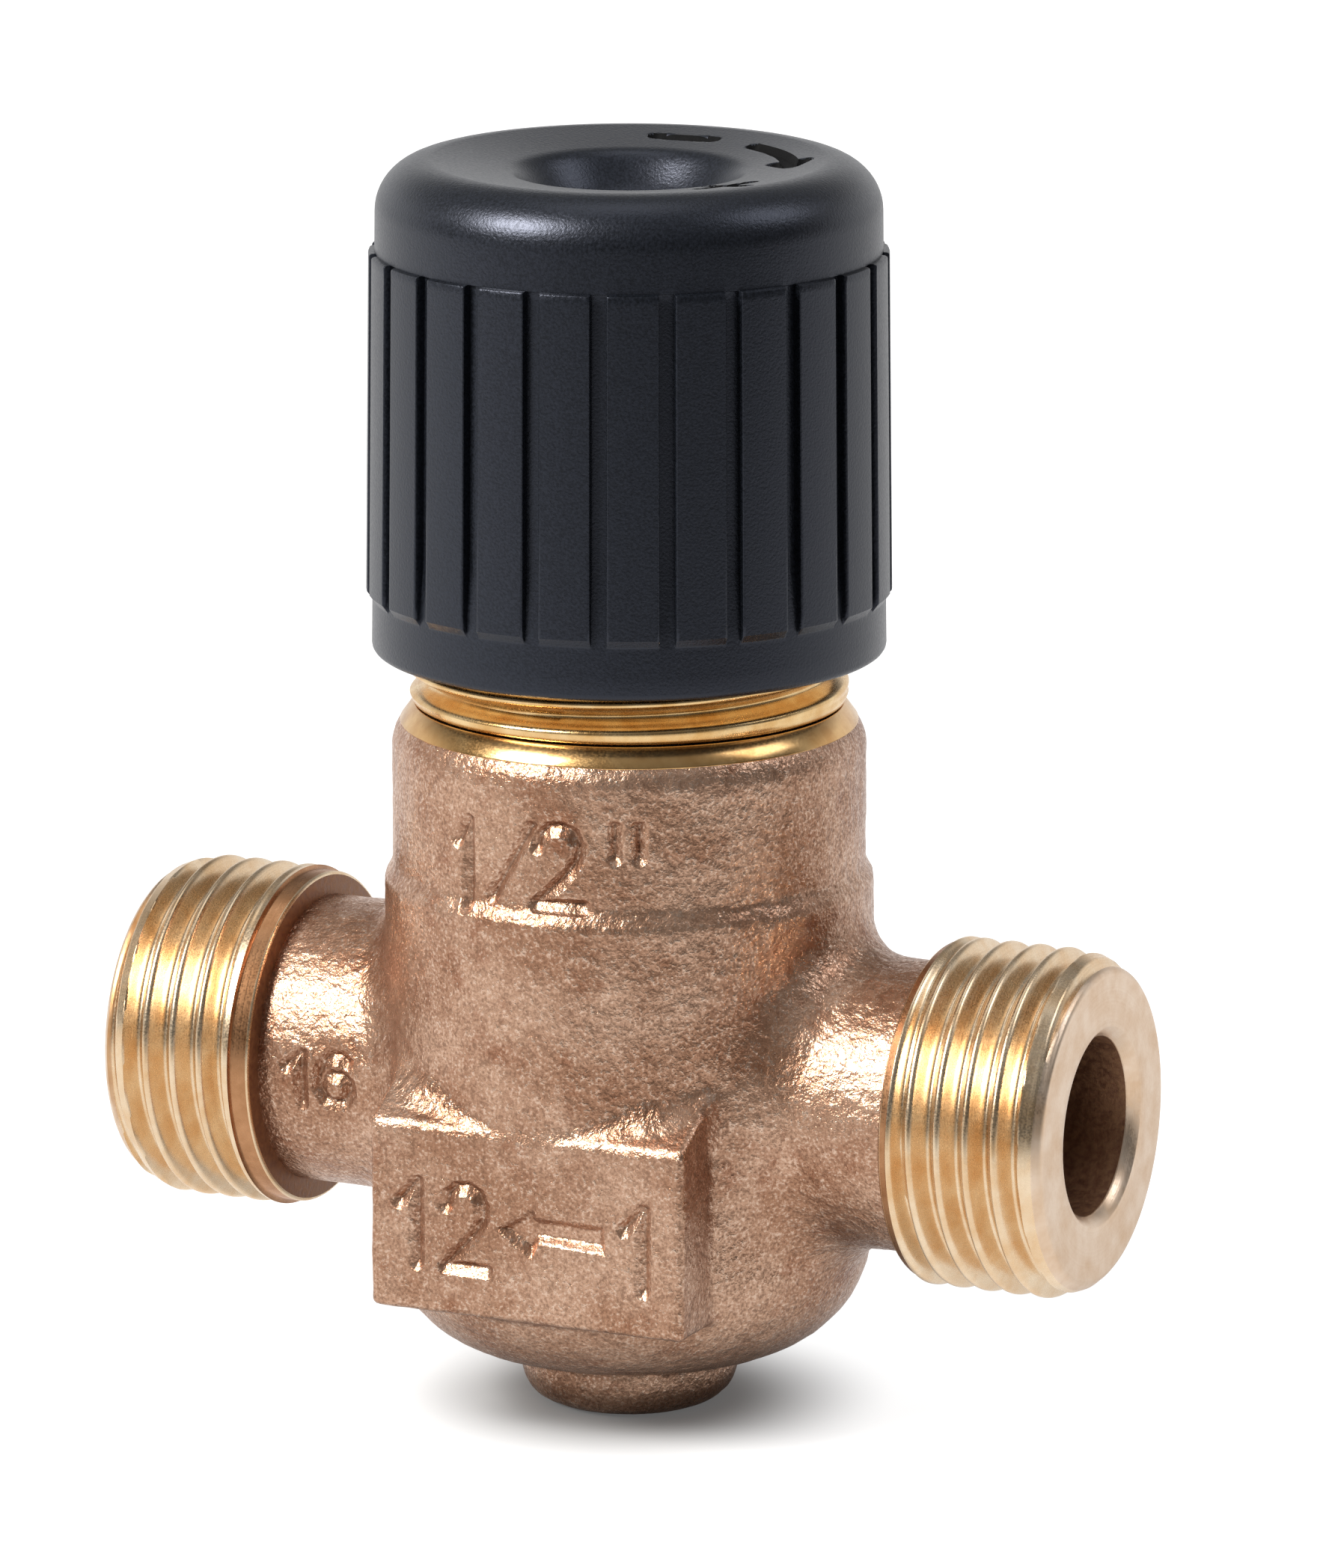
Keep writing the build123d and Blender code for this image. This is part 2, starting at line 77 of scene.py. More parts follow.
# A finish lays colours over its base where a pattern runs from low to high, and takes its
# roughness and its relief from patterns too.
# noises: size in mm, detail and roughness of each; sums: first, its share, second, its share
# layers: pattern, low, high, most of the colour that is laid on, colour
# rough: pattern, low, high, roughness at low, roughness at high
# relief: pattern, depth in mm, strength, each on top of the one before
def turnedMetal(base, warm, ring, around, depth, rough):
    return {
        "constants": {"Metallic": 1.0},
        "rings": (ring, around),
        "noises": {"cloud": (2.2, 3.0, 0.6), "scratch": (0.12, 1.0, 0.5)},
        "sums": {"wear": ("rings", 0.6, "scratch", 1.0)},
        "base": base,
        "layers": [("cloud", 0.35, 0.7, 1.0, warm)],
        "rough": ("wear", 0.6, 1.0, *rough),
        "relief": [("rings", depth, 0.7)],
    }


def moulded(base, light, grain, bloom, depth, rough, constants):
    return {
        "constants": {"Metallic": 0.0} | constants,
        "noises": {"grain": (grain, 2.0, 0.5), "cloud": (5.0, 3.0, 0.5)},
        "sums": {"mottled": ("grain", 1 - bloom, "cloud", bloom)},
        "base": base,
        "layers": [("mottled", 0.36, 0.64, 1.0, light)],
        "rough": ("grain", 0.3, 0.7, *rough),
        "relief": [("grain", depth, 0.8)],
    }


finishSettings = {
    # Gunmetal, a tin bronze poured in sand and then shot-blasted: a dull pinkish brown skin
    # with the print of the sand grains and dirt between them; pale specks on the grain tips are
    # painted glints, and corners and sunk signs are darkened as painted shade
    "castBronze": {
        "constants": {"Metallic": 0.86},
        "noises": {
            "grain": (0.2, 2.0, 0.6),  # sand of 0.15 to 0.25 mm
            "clump": (0.7, 3.0, 0.6),
            "patch": (6.5, 3.0, 0.6),
            "streak": (2.6, 4.0, 0.7),
        },
        # Low values mark dirt between the grains, and high values painted glints on their tips
        "sums": {"pitsAndGlints": ("clump", 0.45, "grain", 1.0)},
        "base": "#A87E64",
        "layers": [
            ("patch", 0.4, 0.6, 1.0, "#C09A81"),
            ("streak", 0.54, 0.7, 0.6, "#8E5A3E"),  # oxide stains
            ("pitsAndGlints", 0.72, 0.54, 0.5, "#5C4030"),  # dirt between the grains
            ("hollow", 0.49, 0.43, 0.75, "#5C4030"),  # painted shade, darker in corners and sunk signs
            ("pitsAndGlints", 0.76, 0.94, 0.55, "#EBD2BE"),  # painted glints on the grain tips
        ],
        "rough": ("grain", 0.62, 0.38, 0.24, 0.41),
        "relief": [("clump", 0.16, 0.9), ("grain", 0.04, 0.9)],
    },
    # Bronze of the bores, a darker brown than the casting as painted shade for the dark inside
    # of the ports, with a dull shine
    "borePaintedShade": {
        "constants": {"Metallic": 0.7},
        "noises": {"grain": (0.4, 3.0, 0.6)},
        "base": "#86604A",
        "layers": [("grain", 0.35, 0.65, 1.0, "#A47C5C")],
        "rough": ("grain", 0.3, 0.7, 0.4, 0.6),
        "relief": [("grain", 0.05, 0.7)],
    },
    # The same bronze turned in the lathe: bright, with fine rings from the tool that stretch
    # each highlight. All turned finishes draw the feed of 0.05 mm coarser, so that it shows
    "turnedBronze": turnedMetal(
        "#E8D2B4", "#DBB88E", ring=0.09, around="X", depth=0.0015, rough=(0.22, 0.34)
    ),
    # Turned bronze of the band in the corner behind the thread, brown and warm as painted shade
    "turnedBandShade": turnedMetal(
        "#BE8E68", "#9E704C", ring=0.12, around="X", depth=0.002, rough=(0.26, 0.38)
    ),
    # Turned bronze faced square for the gasket: pale, its rings deeper and wider
    "turnedFace": turnedMetal(
        "#E2CCB6", "#D2B394", ring=0.16, around="X", depth=0.006, rough=(0.28, 0.42)
    ),
    # Turned brass of the bonnet: yellow, with sharp highlights on the thread
    "turnedBrass": turnedMetal(
        "#EACB98", "#D3A566", ring=0.1, around="Z", depth=0.002, rough=(0.2, 0.32)
    ),
    # Bronze lip skimmed with a sharp tool: smooth and golden, it mirrors the room
    "machinedLip": turnedMetal(
        "#DDB57C", "#C3945B", ring=0.14, around="Z", depth=0.002, rough=(0.17, 0.27)
    ),
    # Ground stainless steel: cool grey, with fine marks round the stem
    "groundStainless": turnedMetal(
        "#C6C6C8", "#A9A8A6", ring=0.08, around="Z", depth=0.004, rough=(0.18, 0.3)
    ),
    # Glass-filled polyamide, moulded in a spark-eroded tool: anthracite, matt, with a fine
    # even grain that breaks the light into a soft cool sheen. The grain of 0.06 mm is drawn
    # coarser, so that it shows
    "knobPlastic": moulded(
        "#0A0C0F", "#16191F", grain=0.16, bloom=0.05, depth=0.024, rough=(0.29, 0.38),
        constants={"IOR": 1.53, "Specular Tint": toLinear("#DCE3FA")},
    ),
    # The same polyamide in the sunk signs, near black as painted shade: dull, nearly no shine
    "knobSign": moulded(
        "#040405", "#070708", grain=0.16, bloom=0.0, depth=0.01, rough=(0.7, 0.8),
        constants={"IOR": 1.53, "Specular IOR Level": 0.12},
    ),
    # EPDM rubber, moulded: dull black with a grey bloom
    "sealRubber": moulded(
        "#161616", "#242322", grain=0.3, bloom=0.5, depth=0.02, rough=(0.5, 0.75),
        constants={"IOR": 1.52},
    ),
    # PTFE, turned from moulded rod: waxy white
    "sealPtfe": moulded(
        "#E2E1DB", "#EDECE7", grain=0.5, bloom=0.5, depth=0.02, rough=(0.35, 0.5),
        constants={"IOR": 1.38},
    ),
    # Cold-drawn spring wire: grey, with drawing lines that follow the wire
    "springSteel": {
        "constants": {"Metallic": 1.0},
        "stretch": (1.0, 1.0, 5.0),
        "noises": {"lines": (0.25, 3.0, 0.5)},
        "base": "#8E8E92",
        "layers": [("lines", 0.35, 0.65, 1.0, "#B4B4B6")],
        "rough": ("lines", 0.3, 0.7, 0.25, 0.42),
        "relief": [("lines", 0.006, 0.5)],
    },
}


def addRings(tree, place, ring, around):
    # Noise along the axis and out from it, so that faces square to the axis have rings too
    axis, flatten, middle = 2, (1, 1, 0), (0, 0, 0)
    if around == "X":
        axis, flatten, middle = 0, (0, 1, 1), (0, 0, -axisHeight * mm)
    settings = {"Location": middle, "Scale": flatten}
    across = addNode(tree, "Mapping", settings, {"Vector": place})
    radius = addNode(tree, "VectorMath", {"operation": "LENGTH"}, {0: across}).outputs["Value"]
    along = addNode(tree, "SeparateXYZ", {}, {0: place}).outputs[axis]
    # Rings are a little closer across a face than along a side
    settings = {"operation": "MULTIPLY_ADD", 1: 1.31}
    feed = addNode(tree, "Math", settings, {0: radius, 2: along})
    settings = {"noise_dimensions": "1D", "Scale": 1 / (ring * mm), "Detail": 2.0}
    return addNode(tree, "TexNoise", settings, {"W": feed}).outputs["Fac"]


def makeFinish(name, c):
    material = bpy.data.materials.new(name)
    material.use_nodes = True
    tree = material.node_tree
    tree.nodes.clear()
    place = addNode(tree, "TexCoord").outputs["Object"]
    if "stretch" in c:
        place = addNode(tree, "Mapping", {"Scale": c["stretch"]}, {"Vector": place}).outputs[0]
    patterns = {}
    if "rings" in c:
        patterns["rings"] = addRings(tree, place, *c["rings"])
    # Pointiness, for painted shade in corners and hollows
    if any(layer[0] == "hollow" for layer in c["layers"]):
        patterns["hollow"] = addNode(tree, "NewGeometry").outputs["Pointiness"]
    for key, (size, detail, rough) in c["noises"].items():
        settings = {"Scale": 1 / (size * mm), "Detail": detail, "Roughness": rough}
        patterns[key] = addNode(tree, "TexNoise", settings, {"Vector": place}).outputs["Fac"]
    for key, (first, share, second, rest) in c.get("sums", {}).items():
        part = addNode(tree, "Math", {"operation": "MULTIPLY", 1: rest}, {0: patterns[second]})
        settings, links = {"operation": "MULTIPLY_ADD", 1: share}, {0: patterns[first], 2: part}
        patterns[key] = addNode(tree, "Math", settings, links).outputs[0]

    colour = None
    for pattern, low, high, most, tint in c["layers"]:
        ends = dict(zip(rangeEnds, (low, high, 0.0, most)))
        amount = addNode(tree, "MapRange", ends, {"Value": patterns[pattern]})
        settings, links = {"data_type": "RGBA", 7: toLinear(tint)}, {0: amount}
        if colour is None:
            settings[6] = toLinear(c["base"])
        else:
            links[6] = colour
        colour = addNode(tree, "Mix", settings, links).outputs[2]

    pattern, *ends = c["rough"]
    ends = dict(zip(rangeEnds, ends))
    rough = addNode(tree, "MapRange", ends, {"Value": patterns[pattern]})
    normal = None
    for pattern, depth, strength in c["relief"]:
        links = {"Height": patterns[pattern]}
        if normal is not None:
            links["Normal"] = normal
        normal = addNode(tree, "Bump", {"Strength": strength, "Distance": depth * mm}, links)
    links = {"Base Color": colour, "Roughness": rough, "Normal": normal}
    shader = addNode(tree, "BsdfPrincipled", c["constants"], links)
    addNode(tree, "OutputMaterial", {}, {"Surface": shader})
    return material


finishes = {name: makeFinish(name, c) for name, c in finishSettings.items()}
print("finishes ready:", ", ".join(sorted(finishes)))


def roundedPath(points, radii, steps=8):
    # Straight runs with an arc at each inner corner that has a radius
    path = [np.array(points[0], float)]
    for before, corner, after, radius in zip(points, points[1:], points[2:], radii):
        corner = np.array(corner, float)
        if radius <= 0:
            path.append(corner)
            continue
        back = np.array(before) - corner
        ahead = np.array(after) - corner
        back /= np.linalg.norm(back)
        ahead /= np.linalg.norm(ahead)
        half = math.acos(np.clip(back @ ahead, -1, 1)) / 2
        middle = (back + ahead) / np.linalg.norm(back + ahead)
        centre = corner + middle * radius / math.sin(half)
        start = corner + back * radius / math.tan(half) - centre
        end = corner + ahead * radius / math.tan(half) - centre
        sweep = math.pi - 2 * half
        for k in range(steps + 1):
            t = k / steps
            turn = start * math.sin((1 - t) * sweep) + end * math.sin(t * sweep)
            path.append(centre + turn / math.sin(sweep))
    path.append(np.array(points[-1], float))
    return np.array(path)


def smoothStep(value, low, high):
    # 0 at low, 1 at high, level at both
    t = np.clip((value - low) / (high - low), 0, 1)
    return t * t * (3 - 2 * t)


def ringFaces(rows, columns, closed):
    # Four-sided faces between rows of points that each run once round
    i = np.arange(rows if closed else rows - 1)[:, None]
    j = np.arange(columns)[None, :]
    down, side = (i + 1) % rows, (j + 1) % columns
    corners = (i * columns + j, i * columns + side, down * columns + side, down * columns + j)
    return np.stack(np.broadcast_arrays(*corners), -1).reshape(-1, 4).tolist()


# Corners run through x, then y, then z, low before high
boxFaces = [(0, 1, 3, 2), (4, 6, 7, 5), (0, 4, 5, 1), (2, 3, 7, 6), (0, 2, 6, 4), (1, 5, 7, 3)]


def boxPoints(*ranges):
    return [(x, y, z) for x in ranges[0] for y in ranges[1] for z in ranges[2]]


def newPiece(name, points, faces, finish, sharpAngle=38, slots=None):
    # Its faces are turned outwards, and edges over sharpAngle degrees stay sharp
    mesh = bpy.data.meshes.new(name)
    mesh.from_pydata((np.asarray(points) * mm).tolist(), [], faces)
    mesh.update()
    mesh.calc_loop_triangles()
    corner = np.asarray(points)[np.array([t.vertices[:] for t in mesh.loop_triangles])]
    volume = np.einsum("ij,ij->", corner[:, 0], np.cross(corner[:, 1], corner[:, 2]))
    if volume < 0:
        mesh.flip_normals()
    for one in [finish] + list(slots or []):
        mesh.materials.append(finishes[one])
    mesh.shade_smooth()
    mesh.set_sharp_from_angle(angle=math.radians(sharpAngle))
    piece = bpy.data.objects.new(name, mesh)
    bpy.context.scene.collection.objects.link(piece)
    return piece


def turned(path, columns, around="Z", closed=False):
    # Path of (radius, height), or (radius, x) round the pipe axis; a zero radius makes a pole
    path = np.asarray(path, float)
    angle = np.linspace(0, 2 * np.pi, columns, endpoint=False)
    rows = path if closed else path[1:-1]
    radius, height = rows[:, :1], rows[:, 1:] + 0 * angle
    points = sweepRound(radius + 0 * angle, height, angle, around)
    faces = ringFaces(len(rows), columns, closed)
    if not closed:
        for pole, row in ((path[0], 0), (path[-1], len(rows) - 1)):
            tip = len(points)
            radius, height = (np.array([[value]]) for value in pole)
            points = np.vstack([points, sweepRound(radius, height, angle[:1], around)])
            ring = [row * columns + j for j in range(columns)]
            for a, b in zip(ring, ring[1:] + ring[:1]):
                faces.append((b, a, tip) if row == 0 else (a, b, tip))
    return points, faces


def sweepRound(radius, along, angle, around):
    across = radius * np.cos(angle), radius * np.sin(angle)
    if around == "Z":
        points = (across[0], across[1], along)
    else:
        points = (along, across[0], axisHeight + across[1])
    return np.stack([p.ravel() for p in points], 1)


# Whitworth form of the pipe threads, 55 degrees with round crests and roots
threadForm = {"pitch": 1.8143, "depth": 1.1617, "round": 0.2492, "slope": 1.921, "arcEnd": 0.221}


def threadDepth(along, angle, crestAt, startAngle):
    # Depth below the crests of a right-hand thread with a crest at crestAt under startAngle
    t = threadForm
    pitch, halfPitch, arcEnd = t["pitch"], t["pitch"] / 2, t["arcEnd"]
    offset = (along - crestAt - pitch * (angle - startAngle) / (2 * np.pi)) % pitch
    away = np.minimum(offset, pitch - offset)
    fromCrest = np.minimum(away, halfPitch - away)
    arc = t["round"] - np.sqrt(t["round"] ** 2 - np.minimum(fromCrest, arcEnd) ** 2)
    drop = arc + t["slope"] * np.maximum(fromCrest - arcEnd, 0)
    arcDrop = t["round"] - math.sqrt(t["round"] ** 2 - arcEnd**2)
    drop = drop * (t["depth"] / 2 / (arcDrop + t["slope"] * (pitch / 4 - arcEnd)))
    return np.where(away <= halfPitch / 2, drop, t["depth"] - drop)


# The camera stands as it did for the photograph, in front and a little above
camera = {
    "azimuth": 24.728,  # degrees from the front, to the right
    "elevation": 13.188,
    "distance": 650.0,
    "lens": 247.5,
    "aimRight": 1.847,
    "aimUp": 17.95,  # above the pipe axis
}


def placeCamera():
    az, el = math.radians(camera["azimuth"]), math.radians(camera["elevation"])
    right = Vector((math.cos(az), math.sin(az), 0))
    back = Vector((math.sin(az) * math.cos(el), -math.cos(az) * math.cos(el), math.sin(el)))
    up = back.cross(right)
    aim = right * camera["aimRight"] + Vector((0, 0, axisHeight + camera["aimUp"]))
    data = bpy.data.cameras.new("camera")
    data.lens = camera["lens"]
    data.sensor_width = 36
    data.clip_start = 0.01
    data.clip_end = 50
    eye = bpy.data.objects.new("camera", data)
    place = (aim + back * camera["distance"]) * mm
    rows = [(right[i], up[i], back[i], place[i]) for i in range(3)]
    eye.matrix_world = Matrix(rows + [(0, 0, 0, 1)])
    bpy.context.scene.collection.objects.link(eye)
    bpy.context.scene.camera = eye


placeCamera()


# The casting is one form: foot, barrel, two stubs and the lug, joined by cast fillets
bodyCasting = {
    "footRadius": 6.6,
    "footHeight": 3.66,
    "footEdge": 2.3,
    "footRoot": 0.9,
    "barrelRadius": 14.75,
    "bowlRadius": 7.0,
    "stepFrom": 12.5,  # heights from the pipe axis
    "stepTo": 13.4,
    "stepEdges": (0.35, 0.5),
    "neckRadius": 14.27,
    "lipTop": 23.0,
    "lipRound": 2.3,
    "lipInset": 0.06,
    "stubRadius": 8.8,
    "stubFlare": {1: 2.8, -1: 1.7},
    "stubEnd": 21.2,
    "lugHalf": 10.3,
    "lugTop": -0.45,
    "lugBottom": -12.05,
    "lugFace": 14.85,
    "lugBack": 6,
    "lugSlope": 30,  # degrees that its top rises towards the barrel, by up to lugRise
    "lugRise": 2.6,
    "lugEdge": 0.45,
    "lugRoot": (0.3, 0.9),  # fillet in the middle, and what the upper corners have more
    "voxel": 0.3,
    "signSpread": 0.95,
    "skinLumps": ((1.6, 0.045), (0.62, 0.028)),  # size and height of the sand print
    "skinEnd": (22.0, 22.4),
}

# Sunk signs: port numbers and flow arrow on the lug, pipe size above, pressure number left.
# Strokes run in a flat chart of the surface: millimetres to the right and above the pipe axis
figures = {
    "1": [[(0.12, 0.74), (0.6, 1.0), (0.6, 0.0)]],
    "2": [
        [(0.04, 0.74), (0.1, 0.88), (0.3, 0.98), (0.55, 1.0), (0.8, 0.93), (0.93, 0.77),
         (0.9, 0.6), (0.72, 0.42), (0.3, 0.16), (0.02, 0.0)],
        [(0.02, 0.0), (1.0, 0.0)],
    ],
    "6": [
        [(0.86, 0.88), (0.66, 0.99), (0.42, 0.98), (0.2, 0.82), (0.07, 0.55), (0.08, 0.28),
         (0.25, 0.06), (0.52, 0.0), (0.78, 0.06), (0.94, 0.26), (0.9, 0.47), (0.7, 0.6),
         (0.45, 0.6), (0.22, 0.5), (0.1, 0.36)],
    ],
    "/": [[(0.0, 0.0), (1.0, 1.0)]],
    "'": [[(0.5, 0.0), (0.5, 1.0)]],
}
signs = {
    "barrel": [  # figure, left, foot, width, height
        ("1", -5.35, 13.15, 1.75, 5.2),
        ("/", -2.5, 13.95, 2.7, 4.5),
        ("2", 0.45, 13.85, 2.95, 4.75),
        ("'", 5.0, 16.85, 0.7, 1.85),
        ("'", 6.45, 16.85, 0.7, 1.85),
    ],
    "lug": [
        ("1", -8.6, -8.9, 2.4, 5.0),
        ("2", -5.35, -8.9, 2.75, 5.0),
        ("1", 6.2, -8.95, 2.6, 4.9),
    ],
    "stub": [
        ("1", -19.1, -1.75, 1.9, 3.1),
        ("6", -16.9, -1.6, 2.4, 3.1),
    ],
    "arrow": [
        (-2.12, -6.3), (0.72, -4.57), (0.86, -5.25), (5.3, -5.3),
        (5.3, -7.2), (0.95, -7.0), (0.5, -8.05),
    ],
    "arrowWall": (-0.6, 0.05),
    "arrowDepth": ((-7.6, -4.6), (0.58, 0.3)),  # deeper at its lower edge
    "strokeHalf": 0.56,
    "above": 1.6,  # the upper wall is steep and stays dark, the lower one catches the light
    "below": 0.8,
    "depth": 0.43,
}


def pathDistance(points, path, above=1.0, below=1.0):
    # Distance to a run of straight pieces, which can count more above it than below
    nearest = np.full(len(points), 1e9)
    for a, b in zip(path[:-1], path[1:]):
        run = b - a
        t = np.clip(((points - a) @ run) / max(run @ run, 1e-12), 0, 1)
        off = points - a - t[:, None] * run
        off[:, 1] *= np.where(off[:, 1] > 0, above, below)
        nearest = np.minimum(nearest, np.linalg.norm(off, axis=1))
    return nearest


def insidePath(points, path):
    inside = np.zeros(len(points), bool)
    for a, b in zip(path, np.roll(path, -1, axis=0)):
        crosses = (a[1] > points[:, 1]) != (b[1] > points[:, 1])
        rise = b[1] - a[1] if b[1] != a[1] else 1e-12
        inside ^= crosses & (points[:, 0] < (b[0] - a[0]) * (points[:, 1] - a[1]) / rise + a[0])
    return inside


def profileField(path, low, high, cell=0.1):
    # Signed distance to a turned profile, worked out once on a grid and then read between cells
    sizes = [int((high[k] - low[k]) / cell) + 2 for k in (0, 1)]
    across, up = (low[k] + cell * np.arange(sizes[k]) for k in (0, 1))
    grid = np.stack(np.meshgrid(across, up, indexing="ij"), -1).reshape(-1, 2)
    field = pathDistance(grid, path)
    behind = -9  # closes the profile well past the axis
    closed = np.vstack([path, [(behind, path[-1][1]), (behind, path[0][1])]])
    field[insidePath(grid, closed)] *= -1
    field = field.reshape(sizes)

    def read(a, b):
        u = np.clip((a - low[0]) / cell, 0, sizes[0] - 1.001)
        v = np.clip((b - low[1]) / cell, 0, sizes[1] - 1.001)
        i, j = u.astype(int), v.astype(int)
        u, v = u - i, v - j
        lower = field[i, j] * (1 - u) + field[i + 1, j] * u
        upper = field[i, j + 1] * (1 - u) + field[i + 1, j + 1] * u
        return lower * (1 - v) + upper * v

    return read


def roundUnion(first, second, radius):
    # Joins two distance fields with a fillet
    near = np.hypot(np.maximum(radius - first, 0), np.maximum(radius - second, 0))
    return np.maximum(radius, np.minimum(first, second)) - near


def castingPaths():
    c = bodyCasting
    top = axisHeight + c["lipTop"] - c["lipInset"]
    barrel = roundedPath(
        [
            (0, 0),
            (c["footRadius"], 0),
            (c["footRadius"], c["footHeight"]),
            (c["barrelRadius"], c["footHeight"]),
            (c["barrelRadius"], axisHeight + c["stepFrom"]),
            (c["neckRadius"], axisHeight + c["stepTo"]),
            (c["neckRadius"], top),
            (0, top),
        ],
        [c["footEdge"], c["footRoot"], c["bowlRadius"], *c["stepEdges"], c["lipRound"]],
        12,
    )
    radius, end = c["stubRadius"], c["stubEnd"]
    return barrel, np.array([(radius, 0), (radius, end), (0, end)], float)


def signDepth(points):
    # How far each point of the casting sinks into a sign
    s, c = signs, bodyCasting
    x, y, z = points[:, 0], points[:, 1], points[:, 2] - axisHeight
    front, radius = y < 0, np.hypot(x, y)
    # Each chart, and the points of the surface that it holds
    charts = {
        "barrel": (
            (c["neckRadius"] * np.arctan2(x, -y), z),
            front & (radius > 13.2) & (z > 12) & (z < 20),
        ),
        "lug": ((x, z), (y < -14.3) & (np.abs(x) < 9.8) & (z < -1) & (z > -11.5)),
        "stub": (
            (x, c["stubRadius"] * np.arctan2(z, -y)),
            front & (x < -13.5) & (x > -20.4),
        ),
    }
    charts = {name: (np.stack(chart, 1), reach) for name, (chart, reach) in charts.items()}
    nearest = np.full(len(points), 1e9)
    for chartName, (chart, reach) in charts.items():
        picked = np.where(reach)[0]
        for figure, left, foot, width, height in s[chartName]:
            for stroke in figures[figure]:
                path = np.array([(left + u * width, foot + v * height) for u, v in stroke])
                away = pathDistance(chart[picked], path, s["above"], s["below"])
                nearest[picked] = np.minimum(nearest[picked], away)
    depth = s["depth"] * np.clip(1 - nearest / s["strokeHalf"], 0, 1)
    chart, reach = charts["lug"]
    picked = np.where(reach)[0]
    arrow = np.array(s["arrow"])
    edge = pathDistance(chart[picked], np.vstack([arrow, arrow[:1]]))
    edge[insidePath(chart[picked], arrow)] *= -1
    sunk = 1 - smoothStep(edge, *s["arrowWall"])
    sunk *= np.interp(chart[picked][:, 1], *s["arrowDepth"])
    depth[picked] = np.maximum(depth[picked], sunk)
    nearest[picked] = np.minimum(nearest[picked], np.abs(edge))
    return depth, nearest


def makeCasting():
    c = bodyCasting
    barrelPath, stubPath = castingPaths()
    barrelField = profileField(barrelPath, (0, -2), (18, 46))
    stubField = profileField(stubPath, (0, -1), (12, 24.5))
    slope = math.radians(c["lugSlope"])
    crest, low, face, back = c["lugTop"] + c["lugRise"], c["lugBottom"], c["lugFace"], c["lugBack"]
    lugCentre = np.array([0, -(face + back) / 2, axisHeight + (crest + low) / 2])
    lugHalf = np.array([c["lugHalf"], (face - back) / 2, (crest - low) / 2])

    def distance(p):
        barrel = barrelField(np.hypot(p[:, 0], p[:, 1]), p[:, 2])
        stub = stubField(np.hypot(p[:, 1], p[:, 2] - axisHeight), np.abs(p[:, 0]))
        flare = np.where(p[:, 0] > 0, c["stubFlare"][1], c["stubFlare"][-1])
        shell = roundUnion(barrel, stub, flare)
        over = np.abs(p - lugCentre) - (lugHalf - c["lugEdge"])
        lug = np.linalg.norm(np.maximum(over, 0), axis=1) + np.minimum(over.max(1), 0)
        lug -= c["lugEdge"]
        rise = p[:, 2] - axisHeight - c["lugTop"]
        top = rise * math.cos(slope) - (p[:, 1] + face) * math.sin(slope)
        lug = -roundUnion(-lug, -top, c["lugEdge"])
        corner = smoothStep(np.abs(p[:, 0]), 3, 7) * smoothStep(rise, -1.5, 0)
        return roundUnion(shell, lug, c["lugRoot"][0] + c["lugRoot"][1] * corner)

    def normalAt(p, step=0.02):
        rises = [distance(p + step * axis) - distance(p - step * axis) for axis in np.eye(3)]
        gradient = np.stack(rises, 1)
        return gradient / np.maximum(np.linalg.norm(gradient, axis=1, keepdims=True), 1e-9)

    def settle(p, turns):
        # Moves each point onto the form, a little at a time
        for _ in range(turns):
            p = p - normalAt(p) * np.clip(distance(p), -0.3, 0.3)[:, None]
        return p

    # Rough form from plain turned shapes, only to give the remesher its start
    rough = [turned(barrelPath[::3].tolist() + [barrelPath[-1].tolist()], 72)]
    for side in (1, -1):
        path = [(0, 0.0)] + [(r, side * x) for r, x in stubPath]
        rough.append(turned(path, 72, "X"))
    box = boxPoints(*zip(lugCentre - lugHalf, lugCentre + lugHalf))
    rough.append((np.array(box), boxFaces))
    points, faces, count = [], [], 0
    for some, someFaces in rough:
        points.append(some)
        faces += [tuple(i + count for i in f) for f in someFaces]
        count += len(some)
    start = newPiece("bodyCasting", np.vstack(points), faces, "castBronze")
    bm = bmesh.new()
    bm.from_mesh(start.data)
    bmesh.ops.recalc_face_normals(bm, faces=bm.faces)
    bm.to_mesh(start.data)
    bm.free()
    remesh = start.modifiers.new("even", "REMESH")
    remesh.mode = "VOXEL"
    remesh.voxel_size = c["voxel"] * mm
    applyModifiers(start)

    # Finer mesh round the signs only
    mesh = start.data
    points = settle(readPoints(mesh), 4)
    _, nearest = signDepth(points)
    writePoints(mesh, points)
    bm = bmesh.new()
    bm.from_mesh(mesh)
    bm.verts.ensure_lookup_table()
    fine = {v.index for v, away in zip(bm.verts, nearest) if away < c["signSpread"]}
    edges = [e for e in bm.edges if e.verts[0].index in fine and e.verts[1].index in fine]
    bmesh.ops.subdivide_edges(bm, edges=edges, cuts=3, use_grid_fill=True)
    bmesh.ops.triangulate(bm, faces=[f for f in bm.faces if len(f.verts) > 4])
    bm.to_mesh(mesh)
    bm.free()
    # The signs sink in, and the sand leaves its print
    points = settle(readPoints(mesh), 3)
    normal = normalAt(points)
    depth, _ = signDepth(points)
    lift = -depth
    skin = 1 - smoothStep(points[:, 2] - axisHeight, *c["skinEnd"])
    for size, rise in c["skinLumps"]:
        lumps = np.array([noise.noise(Vector(p)) for p in points / size])
        lift += lumps * rise * skin
    underside = points[:, 2] < 0.5  # stays flat
    lift[underside] = np.minimum(lift[underside], 0)
    points = points + normal * lift[:, None]
    points[:, 2] = np.maximum(points[:, 2], 0)
    writePoints(mesh, points)
    mesh.shade_smooth()
    return start


